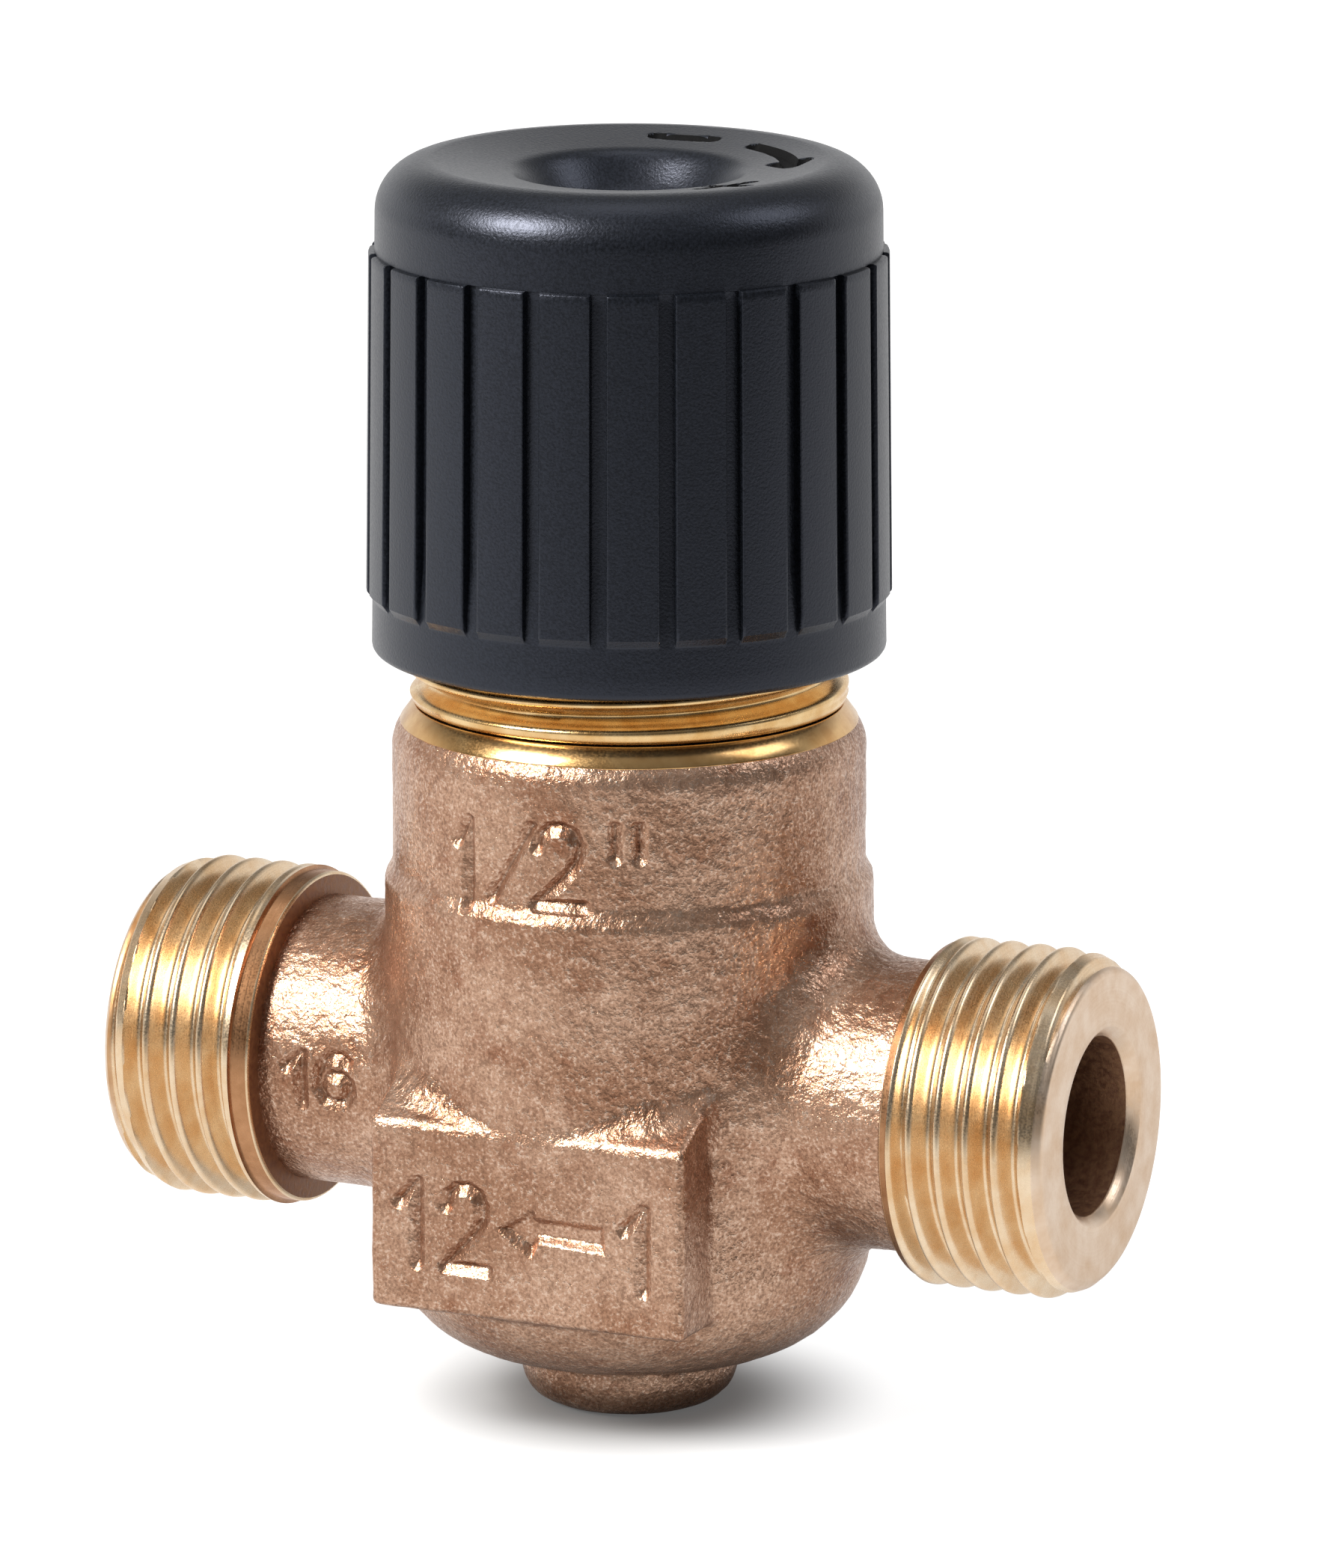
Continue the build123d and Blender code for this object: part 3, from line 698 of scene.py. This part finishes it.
def readPoints(mesh):
    flat = np.empty(len(mesh.vertices) * 3, np.float32)
    mesh.vertices.foreach_get("co", flat)
    return flat.reshape(-1, 3).astype(float) / mm


def writePoints(mesh, points):
    mesh.vertices.foreach_set("co", (points * mm).astype(np.float32).ravel())
    mesh.update()


def applyModifiers(piece):
    ready = piece.evaluated_get(bpy.context.evaluated_depsgraph_get())
    mesh = bpy.data.meshes.new_from_object(ready)
    piece.modifiers.clear()
    old = piece.data
    piece.data = mesh
    bpy.data.meshes.remove(old)


def cutAway(piece, name, points, faces):
    tool = newPiece(name, points, faces, "castBronze")
    cut = piece.modifiers.new("cut", "BOOLEAN")
    cut.operation = "DIFFERENCE"
    cut.solver = "MANIFOLD"
    cut.object = tool
    applyModifiers(piece)
    bpy.data.objects.remove(tool)


# Heights of the chambers are from the pipe axis, but the floor's is from the foot
bodyBores = {
    "port": 5.46,
    "portEnds": (12.0, 24.0),
    "lowerChamber": 9.0,
    "lowerFloor": 7.76,
    "upperChamber": 10.6,
    "shoulder": -0.8,
    "bonnetBore": 11.6,
    "chamberTop": 10.82,
    "counterbore": 12.6,
    "counterboreFloor": 21.4,
    "passage": (7.0, 12.8, 4.8, 7.0),  # from, to, half width, height
    "outletRise": 1.6,
}


def boreBody(casting):
    b = bodyBores
    top = axisHeight + bodyCasting["lipTop"] + 1
    shaft = roundedPath(
        [
            (0, b["lowerFloor"]),
            (b["lowerChamber"], b["lowerFloor"]),
            (b["lowerChamber"], axisHeight + b["shoulder"]),
            (b["upperChamber"], axisHeight + b["shoulder"]),
            (b["upperChamber"], axisHeight + b["chamberTop"]),
            (b["bonnetBore"], axisHeight + b["chamberTop"]),
            (b["bonnetBore"], axisHeight + b["counterboreFloor"]),
            (b["counterbore"], axisHeight + b["counterboreFloor"]),
            (b["counterbore"], top),
            (0, top),
        ],
        [2.5, 0, 0, 0, 0, 0, 0, 0],
        6,
    )
    cutAway(casting, "chamberTool", *turned(shaft, 96))
    for side in (1, -1):
        start, end = (side * x for x in b["portEnds"])
        port = [(0, start), (b["port"], start), (b["port"], end), (0, end)]
        cutAway(casting, "portTool", *turned(port, 96, "X"))
        start, end, half, tall = b["passage"]
        low = axisHeight + b["shoulder"] + (-tall if side > 0 else b["outletRise"])
        box = boxPoints((side * start, side * end), (-half, half), (low, low + tall))
        cutAway(casting, "passageTool", box, boxFaces)


casting = makeCasting()
print("casting formed:", len(casting.data.polygons), "faces")
boreBody(casting)
casting.data.shade_smooth()
casting.data.set_sharp_from_angle(angle=math.radians(60))
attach(casting, "valve")
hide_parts("valve_body")
print("casting bored:", len(casting.data.polygons), "faces")


# One end of the body from the casting out: plain band, thread, chamfer, face and mouth.
# Lengths are from the stem axis
pipeThread = {
    "bandFrom": 20.8,
    "bandTo": {1: 21.3, -1: 21.9},
    "bandRadius": 10.2,
    "bandRoot": 8.4,
    "runOut": 0.9,
    "face": 31.0,
    "chamferFrom": 28.9,
    "chamferDrop": 0.85,
    "bore": 5.4,
    "mouth": 0.6,
    "boreRows": (27.0, 21.2),
    "faceEdge": 0.45,
    "columns": 288,
    "pace": 0.08,
    "crestFromFace": {1: 3.17, -1: 2.84},
}


def makePipeThread(side):
    t = pipeThread
    angle = np.linspace(0, 2 * np.pi, t["columns"], endpoint=False)
    begin, end, wide = t["bandFrom"], t["bandTo"][side], t["bandRadius"]
    face, edge, bore, mouth = t["face"], t["faceEdge"], t["bore"], t["mouth"]
    tip = threadRadius - t["chamferDrop"]
    # Rows of (radius, length), once round the ring's section
    outer = np.arange(end + 0.16, face - edge, t["pace"])
    rim = [
        (tip - edge * (1 - math.cos(a)), face - edge * (1 - math.sin(a)))
        for a in (0.35, 0.7, 1.05, 1.35, math.pi / 2)
    ]
    flat = [(r, face) for r in np.linspace(tip - 0.8, bore + mouth + 0.1, 5)]
    hole = [(bore + mouth, face - 0.03), (bore + 0.05, face - mouth), (bore, face - mouth - 0.1)]
    hole += [(bore, length) for length in t["boreRows"]]
    band = [
        (t["bandRoot"], begin),
        (wide - 0.2, begin),
        (wide - 0.08, begin + 0.05),
        (wide, begin + 0.17),
        (wide, end),
        (wide + 0.04, end + 0.07),
    ]
    rest = np.array(rim + flat + hole + band)
    along = np.concatenate([outer, rest[:, 1]])[:, None] + 0 * angle
    crest = side * (face - t["crestFromFace"][side])
    depth = threadDepth(side * along, angle, crest, math.pi / 2)
    depth *= smoothStep(along, end + 0.2, end + 0.2 + t["runOut"])
    chamfer = np.clip((along - t["chamferFrom"]) / (face - t["chamferFrom"]), 0, 1)
    radius = np.minimum(threadRadius - depth, threadRadius - t["chamferDrop"] * chamfer)
    radius[len(outer) :] = rest[:, :1]
    points = sweepRound(radius, side * along, angle, "X")
    rows = len(outer) + len(rest)
    faces = ringFaces(rows, t["columns"], True)
    name = "inletThread" if side > 0 else "outletThread"
    others = ["turnedFace", "borePaintedShade", "turnedBandShade"]
    piece = newPiece(name, points, faces, "turnedBronze", 50, others)
    # Thread, face, bore and band each have their finish; the band's edge shines as the thread
    faceEnd = len(outer) + len(rim) + len(flat) + 2
    bandStart = rows + 1 - len(band)
    kind = np.zeros(rows, np.int32)
    kind[len(outer) - 1 : faceEnd] = 1
    kind[faceEnd:bandStart] = 2
    kind[bandStart + 2 :] = 3
    piece.data.polygons.foreach_set("material_index", np.repeat(kind, t["columns"]))
    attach(piece, "valve")
    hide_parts("valve_body")
    return piece


for side in (1, -1):
    makePipeThread(side)
print("pipe threads cut")


# The body's lip is machined all round: section as (radius, height above the pipe axis)
bodyLip = {
    "path": [
        (12.6, 21.3), (12.6, 23.0), (12.66, 23.12), (12.78, 23.18), (12.95, 23.2),
        (13.04, 23.16), (13.78, 22.16), (13.8, 22.08), (13.7, 21.8), (13.2, 21.3),
    ],
    "columns": 192,
}


def makeLip():
    path = [(radius, axisHeight + height) for radius, height in bodyLip["path"]]
    piece = newPiece("bodyLip", *turned(path, bodyLip["columns"], closed=True), "machinedLip", 30)
    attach(piece, "valve")
    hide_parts("valve_body")


makeLip()


# Bonnet with its collar thread; neck, foot and inside are rows of (radius, height)
bonnetShape = {
    "crest": 13.22,
    "threadFrom": 44.1,
    "runOutTo": 44.9,
    "top": 57.26,
    "topChamfer": 0.8,
    "crestAt": 25.77,  # above the pipe axis, on the camera's side
    "crestAngle": -65.3,
    "columns": 288,
    "pace": 0.13,
    "neck": [(12.3, 42.86), (12.4, 43.3), (12.75, 43.52), (13.0, 43.64), (13.1, 43.82)],
    "foot": [
        (12.3, 41.66), (11.55, 41.66), (11.55, 36.86), (9.95, 36.86), (9.95, 34.66),
        (11.55, 34.66), (11.55, 32.0), (11.25, 31.68), (2.55, 31.68),
    ],
    "inside": [
        (2.55, 40.26), (4.5, 40.26), (4.5, 51.26), (6.2, 51.26),
        (6.2, 44.26), (10.2, 44.26), (10.2, 57.06), (10.4, 57.26),
    ],
    "keyway": ((-15, 15), (-1.5, 1.5), (55.76, 58.0)),
    "sharpAngle": 42,
}


def makeBonnet():
    b = bonnetShape
    angle = np.linspace(0, 2 * np.pi, b["columns"], endpoint=False)
    thread = np.arange(b["threadFrom"], b["top"] - 0.06, b["pace"])
    crest, crestAngle = axisHeight + b["crestAt"], math.radians(b["crestAngle"])
    depth = threadDepth(thread[:, None] + 0 * angle, angle, crest, crestAngle)
    depth *= smoothStep(thread, b["threadFrom"] - 0.1, b["runOutTo"])[:, None]
    chamfer = b["crest"] - np.clip(thread - (b["top"] - b["topChamfer"]), 0, None)
    radius = np.minimum(b["crest"] - depth, chamfer[:, None])
    rim = [(b["crest"] - b["topChamfer"], b["top"])]
    rest = np.array(rim + b["inside"][::-1] + b["foot"][::-1] + b["neck"])
    along = np.concatenate([thread, rest[:, 1]])[:, None] + 0 * angle
    radius = np.vstack([radius, rest[:, :1] + 0 * angle])
    points = sweepRound(radius, along, angle, "Z")
    faces = ringFaces(len(along), b["columns"], True)
    piece = newPiece("bonnetCollar", points, faces, "turnedBrass", b["sharpAngle"])
    cutAway(piece, "keyTool", boxPoints(*b["keyway"]), boxFaces)
    piece.data.set_sharp_from_angle(angle=math.radians(b["sharpAngle"]))
    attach(piece, "valve")
    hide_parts("bonnet")


makeBonnet()
print("lip and bonnet turned")


# Hand knob: a tapered skirt with flat ribs between narrow gaps, a round shoulder, a dished
# crown, and inside a boss with webs. Heights are from the foot
knob = {
    "skirt": 46.71,
    "skirtRadius": 15.46,
    "skirtEdge": 0.45,
    "shoulderRadius": 15.15,
    "top": 76.46,
    "edge": 3.1,
    "crown": 11.9,
    "crownDrop": 0.65,
    "dish": 7.4,
    "bowl": [  # radius, drop below the crown's inner rim
        (7.32, 0.03), (7.1, 0.09), (6.88, 0.22), (6.66, 0.42), (6.4, 0.74), (6.0, 1.28),
        (5.6, 1.8), (5.2, 2.24), (4.7, 2.62), (4.0, 2.94), (3.2, 3.12), (2.3, 3.22),
        (1.3, 3.28), (0.5, 3.3),
    ],
    "ribs": 24,
    "ribFrom": 50.46,
    "ribTo": 70.96,
    "ribRise": 0.37,
    "ribSlope": 0.5,
    "ribRows": (51.2, 54, 58, 62, 66, 69.5, 70.4),
    "ribEnd": ((-0.03, 0.9), (0.02, 0.6), (0.04, 0.02)),  # above ribTo, how much stands
    "gapDepth": 0.22,
    "gapHalf": 1.75,  # degrees
    "gapAt": 3.2,
    "gapSteps": (
        0.0, 0.8, 1.4, 1.66, 1.74, 1.82, 1.9, 2.05, 2.5, 3.2, 3.9, 4.6, 5.4, 6.2, 6.9, 7.5,
    ),
    "bore": 13.27,
    "boreRow": 52.0,
    "mouth": 0.6,
    "threadTop": 60.56,
    "core": 12.4,
    "ceiling": 73.46,
    "bossEnd": 66.31,
    "bossTip": 4.4,
    "bossRoot": 5.0,
    "rootHeight": 71.86,
    "rootRadius": 8.5,
    "coneRadius": 10.1,
    "webBottom": 63.26,
    "webs": 6,
    "webThick": 1.6,
    "webTop": (72.2, 74.0),  # under the dish, into the ceiling
}

# Sunk turning signs on the crown: minus, an arrow round the rim and plus, as (angle, radius)
knobSigns = {
    "strokes": [
        [(105, 9.75), (84, 9.75)],
        [(63, 9.6), (52, 9.6), (41, 9.6), (30, 9.6), (19, 9.6)],
        [(28, 8.75), (18.5, 9.6), (28, 10.45)],
        [(-39, 9.6), (-17, 9.6)],
        [(-28, 8.0), (-28, 11.2)],
    ],
    "half": 0.44,
    "wall": 0.12,
    "depth": 0.4,
}


def knobRows():
    # Rows up the outside: radius without ribs, height, and how much of the rib stands there
    k = knob
    foot, top, edge = k["skirt"], k["top"], k["edge"]
    draft = (k["skirtRadius"] - k["shoulderRadius"]) / (top - edge - foot)

    def side(height):
        return k["skirtRadius"] - (height - foot) * draft

    small = k["skirtEdge"]
    rows = [(k["bore"] + k["mouth"], foot, 0), (side(foot) - small, foot, 0)]
    for a in (0.4, 0.8, 1.2, 1.57):
        rows.append((side(foot) - small * (1 - math.sin(a)), foot + small * (1 - math.cos(a)), 0))
    low, high, rise = k["ribFrom"] - k["ribSlope"], k["ribTo"], k["ribSlope"]
    rows += [(side(h), h, 0) for h in (48.2, low - 0.25, low - 0.04)]
    rows += [(side(low + rise * t), low + rise * t, t) for t in (0.02, 0.2, 0.5, 0.8, 1.0)]
    rows += [(side(h), h, 1) for h in (*k["ribRows"], high - 0.12)]
    rows += [(side(high), high + up, stands) for up, stands in k["ribEnd"]]
    rows += [(side(h), h, 0) for h in (high + 0.25, 72.2)]
    for a in np.linspace(0, math.pi / 2, 15):
        out = k["crown"] + 0.15 + edge * math.cos(a)
        rows.append((out, top - edge + edge * math.sin(a), 0))
    lip, crownFrom = top - k["crownDrop"], len(rows)
    for r in np.arange(k["crown"], k["dish"] + 0.05, -0.125):
        rows.append((r, np.interp(r, (k["dish"], k["crown"]), (lip, top)), 0))
    crownTo = len(rows)
    rows += [(r, lip - drop, 0) for r, drop in k["bowl"]]
    return np.array(rows), crownFrom, crownTo


def knobInside():
    # Rows down the inside, from the boss to the mouth: radius and height
    k = knob
    corners = [
        ("bossTip", "bossEnd"), ("bossRoot", "rootHeight"), ("rootRadius", "rootHeight"),
        ("coneRadius", "ceiling"), ("core", "ceiling"), ("core", "threadTop"),
        ("bore", "threadTop"), ("bore", "boreRow"),
    ]
    rows = [(k[radius], k[height]) for radius, height in corners]
    mouth = (k["bore"], k["skirt"] + k["mouth"])
    return np.array([(k["bossTip"] * 0.5, k["bossEnd"]), *rows, mouth])


def makeKnob():
    k, s = knob, knobSigns
    period = 360 / k["ribs"]
    steps = np.array(k["gapSteps"])
    offsets = np.concatenate([-steps[:0:-1], steps[:-1]])
    angle = np.radians((k["gapAt"] + np.arange(k["ribs"])[:, None] * period + offsets).ravel())
    away, columns = np.abs(np.tile(offsets, k["ribs"])), len(angle)
    rows, first, last = knobRows()
    radius, height = rows[:, :1] + 0 * angle, rows[:, 1:2] + 0 * angle

    # Flat ribs, a little hollow at their edges, with gaps between them
    gap = k["gapHalf"]
    hollow = 0.06 * (1 - smoothStep(away, gap + 0.1, gap + 0.3))
    land = np.clip(smoothStep(away, gap - 0.1, gap + 0.1) - hollow, 0, 1)
    floor = k["gapDepth"] * smoothStep(height, k["ribFrom"] + 0.2, k["ribFrom"] + 3.5)
    ribbed = radius - floor + (k["ribRise"] + floor) * land
    radius = radius + (ribbed - radius) * np.minimum(rows[:, 2:], 1)

    crown = [(radius * part(angle))[first:last] for part in (np.cos, np.sin)]
    crown = np.stack(crown, -1).reshape(-1, 2)
    nearest = np.full(len(crown), 1e9)
    for stroke in s["strokes"]:
        turns = [(r, math.radians(a)) for a, r in stroke]
        path = np.array([(r * math.cos(a), r * math.sin(a)) for r, a in turns])
        nearest = np.minimum(nearest, pathDistance(crown, path))
    sunk = 1 - smoothStep(nearest, s["half"] - s["wall"], s["half"] + s["wall"])
    sunk = sunk.reshape(last - first, -1)
    height[first:last] -= s["depth"] * sunk

    # The dish's middle and the boss each end in a pole, and the mouth joins both sides
    inner = knobInside()
    radius = np.vstack([radius, inner[:, :1] + 0 * angle])
    height = np.vstack([height, inner[:, 1:] + 0 * angle])
    points = sweepRound(radius, height, angle, "Z")
    topPole, bossPole = len(points), len(points) + 1
    dishFloor = k["top"] - k["crownDrop"] - k["bowl"][-1][1]
    points = np.vstack([points, [(0, 0, dishFloor), (0, 0, k["bossEnd"])]])
    innerFrom, lastInner = len(rows) * columns, (len(rows) + len(inner) - 1) * columns
    lastRow = innerFrom - columns
    faces = ringFaces(len(rows), columns, False)
    faces += [[i + innerFrom for i in face] for face in ringFaces(len(inner), columns, False)]
    ring = [(j, (j + 1) % columns) for j in range(columns)]
    faces += [(lastInner + i, lastInner + j, j, i) for i, j in ring]
    faces += [(lastRow + i, lastRow + j, topPole) for i, j in ring]
    faces += [(innerFrom + j, innerFrom + i, bossPole) for i, j in ring]

    # Webs from the boss to the wall, each a block sunk into both
    half = k["webThick"] / 2
    reach = ((k["bossTip"] - 0.4, k["webTop"][0]), (k["core"] + 0.5, k["webTop"][1]))
    corners, blocks = len(points), []
    for n in range(k["webs"]):
        turn = 2 * math.pi * n / k["webs"]
        cos, sin = math.cos(turn), math.sin(turn)
        for x, top in reach:
            for y in (-half, half):
                for z in (k["webBottom"], top):
                    blocks.append((x * cos - y * sin, x * sin + y * cos, z))
        faces += [tuple(corners + 8 * n + i for i in face) for face in boxFaces]
    points = np.vstack([points, blocks])
    piece = newPiece("handKnob", points, faces, "knobPlastic", 35, ["knobSign"])
    # Faces deep in the signs take the near-black finish, painted shade in the strokes
    deep = sunk[:-1] + sunk[1:]
    kind = np.zeros(len(faces), np.int32)
    marked = (deep + np.roll(deep, -1, axis=1)) > 0.5
    kind[first * columns : (last - 1) * columns] = marked.ravel()
    piece.data.polygons.foreach_set("material_index", kind)
    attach(piece, "knob")
    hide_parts("hand_knob")
    return piece


handKnob = makeKnob()
print("knob moulded:", len(handKnob.data.polygons), "faces")


# Inner parts keep their CAD shape and get their finish
innerFinishes = {
    "turnedBrass": (
        "seat_ring", "backup_washer", "gland_nut", "spring_cap", "disc_holder", "flow_plug",
    ),
    "sealRubber": ("bonnet_o_ring", "stem_o_ring_lower", "stem_o_ring_upper", "seat_disc"),
    "sealPtfe": ("spacer_ring", "wiper_ring"),
    "groundStainless": ("spring_washer", "stem", "plug_nut"),
    "springSteel": ("return_spring", "stem_circlip", "lock_washer"),
}
for finish, nodes in innerFinishes.items():
    for node in nodes:
        part = frame["nodes"][node]
        if not part.material_slots:
            part.data.materials.append(None)
        for place in part.material_slots:
            place.link = "OBJECT"
            place.material = finishes[finish]
    print("inner parts finished:", finish, len(nodes))


# A grey floor that is seen as white paper, a dim room with more paper behind the valve, and
# three soft lamps. Ranges are from, to, and the value at each; lengths are in metres
studio = {
    "floor": "#8C8C8C",
    "half": 4.0,
    "backdrop": (-0.41, 0.9, 0.0),  # where the white paper stands
    "shade": (0.006, 0.017, 0.1, 0.93),  # painted contact shadow: the paper's glow fades under the foot
    "front": (0.1, 0.24, 0.8, 0.0),  # the paper ends towards the camera
    # In the metal the paper is darker near the foot, a painted shadow in its reflection
    "foot": (0.008, 0.024, 0.3, 1.0),
    "room": (0.1, 0.85, 0.08, 0.3),  # the dark room round the camera, and its ceiling
    "paperSide": (0.0, 0.45, 0.0, 1.0),
    "paperTop": (0.25, 0.55, 1.0, 0.0),
    "aim": (0, 0, 0.035),
    "key": {"at": (-0.58, -0.83, 0.86), "size": 0.5, "power": 29.0, "colour": "#FFFCF8"},
    "fill": {"at": (0.75, 0.3, 0.85), "size": 0.5, "power": 2.4, "colour": "#F8FAFF"},
    "above": {"at": (-0.1, 0.1, 1.2), "size": 0.6, "power": 1.2, "colour": "#FFFFFF"},
}


def makeStudio():
    s = studio
    half = s["half"]
    corners = [(-half, -half, 0), (half, -half, 0), (half, half, 0), (-half, half, 0)]
    mesh = bpy.data.meshes.new("floor")
    mesh.from_pydata(corners, [], [(0, 1, 2, 3)])
    floor = bpy.data.objects.new("floor", mesh)
    bpy.context.scene.collection.objects.link(floor)
    paper = bpy.data.materials.new("floorPaper")
    paper.use_nodes = True
    tree = paper.node_tree
    tree.nodes.clear()
    product, larger = {"operation": "MULTIPLY"}, {"operation": "MAXIMUM"}
    ends = {name: dict(zip(rangeEnds, s[name])) for name in ("shade", "front", "foot")}
    ends["shade"]["interpolation_type"] = "SMOOTHSTEP"
    rays = addNode(tree, "LightPath").outputs
    place = addNode(tree, "TexCoord").outputs["Object"]
    toFront = {"operation": "DOT_PRODUCT", 1: [-v for v in s["backdrop"]]}
    toFront = addNode(tree, "VectorMath", toFront, {0: place}).outputs["Value"]
    away = addNode(tree, "VectorMath", {"operation": "LENGTH"}, {0: place}).outputs["Value"]
    # The glow fades towards the foot, a painted contact shadow
    lit = addNode(tree, "MapRange", ends["shade"], {"Value": away})
    # Seen in the metal, the paper darkens near the foot: a painted shadow
    foot = addNode(tree, "MapRange", ends["foot"], {"Value": away})
    front = addNode(tree, "MapRange", ends["front"], {"Value": toFront})
    near = addNode(tree, "Math", product, {0: front, 1: foot})
    mirrored = addNode(tree, "Math", product, {0: rays["Is Glossy Ray"], 1: near})
    seen = {0: rays["Is Camera Ray"], 1: rays["Is Transmission Ray"]}
    seen = addNode(tree, "Math", larger, seen)
    seen = addNode(tree, "Math", larger, {0: seen, 1: mirrored})
    glow = addNode(tree, "Math", product, {0: seen, 1: lit})
    matt = addNode(tree, "BsdfDiffuse", {"Color": toLinear(s["floor"])})
    light = addNode(tree, "Emission", {"Color": (1, 1, 1, 1)}, {"Strength": glow})
    both = addNode(tree, "AddShader", {}, {0: matt, 1: light})
    addNode(tree, "OutputMaterial", {}, {"Surface": both})
    mesh.materials.append(paper)

    # The paper behind is seen directly and in the metal; the room in front stays darker
    world = bpy.data.worlds.new("studio")
    bpy.context.scene.world = world
    world.use_nodes = True
    tree = world.node_tree
    tree.nodes.clear()
    ends = {name: dict(zip(rangeEnds, s[name])) for name in ("room", "paperSide", "paperTop")}
    rays = addNode(tree, "LightPath").outputs
    direction = addNode(tree, "TexCoord").outputs["Generated"]
    up = addNode(tree, "SeparateXYZ", {}, {0: direction}).outputs[2]
    toBack = {"operation": "DOT_PRODUCT", 1: s["backdrop"]}
    toBack = addNode(tree, "VectorMath", toBack, {0: direction}).outputs["Value"]
    room = addNode(tree, "MapRange", ends["room"], {"Value": up})
    side = addNode(tree, "MapRange", ends["paperSide"], {"Value": toBack})
    top = addNode(tree, "MapRange", ends["paperTop"], {"Value": up})
    sheet = addNode(tree, "Math", product, {0: side, 1: top})
    mirrored = addNode(tree, "Math", product, {0: sheet, 1: rays["Is Glossy Ray"]})
    seen = {0: rays["Is Camera Ray"], 1: rays["Is Transmission Ray"]}
    seen = addNode(tree, "Math", larger, seen)
    seen = addNode(tree, "Math", larger, {0: seen, 1: mirrored})
    strength = addNode(tree, "Mix", {3: 1.0}, {0: seen, 2: room})
    sky = addNode(tree, "Background", {"Color": (1, 1, 1, 1)}, {"Strength": strength})
    addNode(tree, "OutputWorld", {}, {"Surface": sky})

    for name in ("key", "fill", "above"):
        lamp = s[name]
        data = bpy.data.lights.new(name, "AREA")
        data.shape = "SQUARE"
        data.size = lamp["size"]
        data.energy = lamp["power"]
        data.color = toLinear(lamp["colour"])[:3]
        lit = bpy.data.objects.new(name, data)
        lit.location = lamp["at"]
        aim = Vector(s["aim"]) - Vector(lamp["at"])
        lit.rotation_euler = aim.to_track_quat("-Z", "Y").to_euler()
        bpy.context.scene.collection.objects.link(lit)


makeStudio()
bpy.context.scene.view_settings.view_transform = "Standard"
print("studio lit")
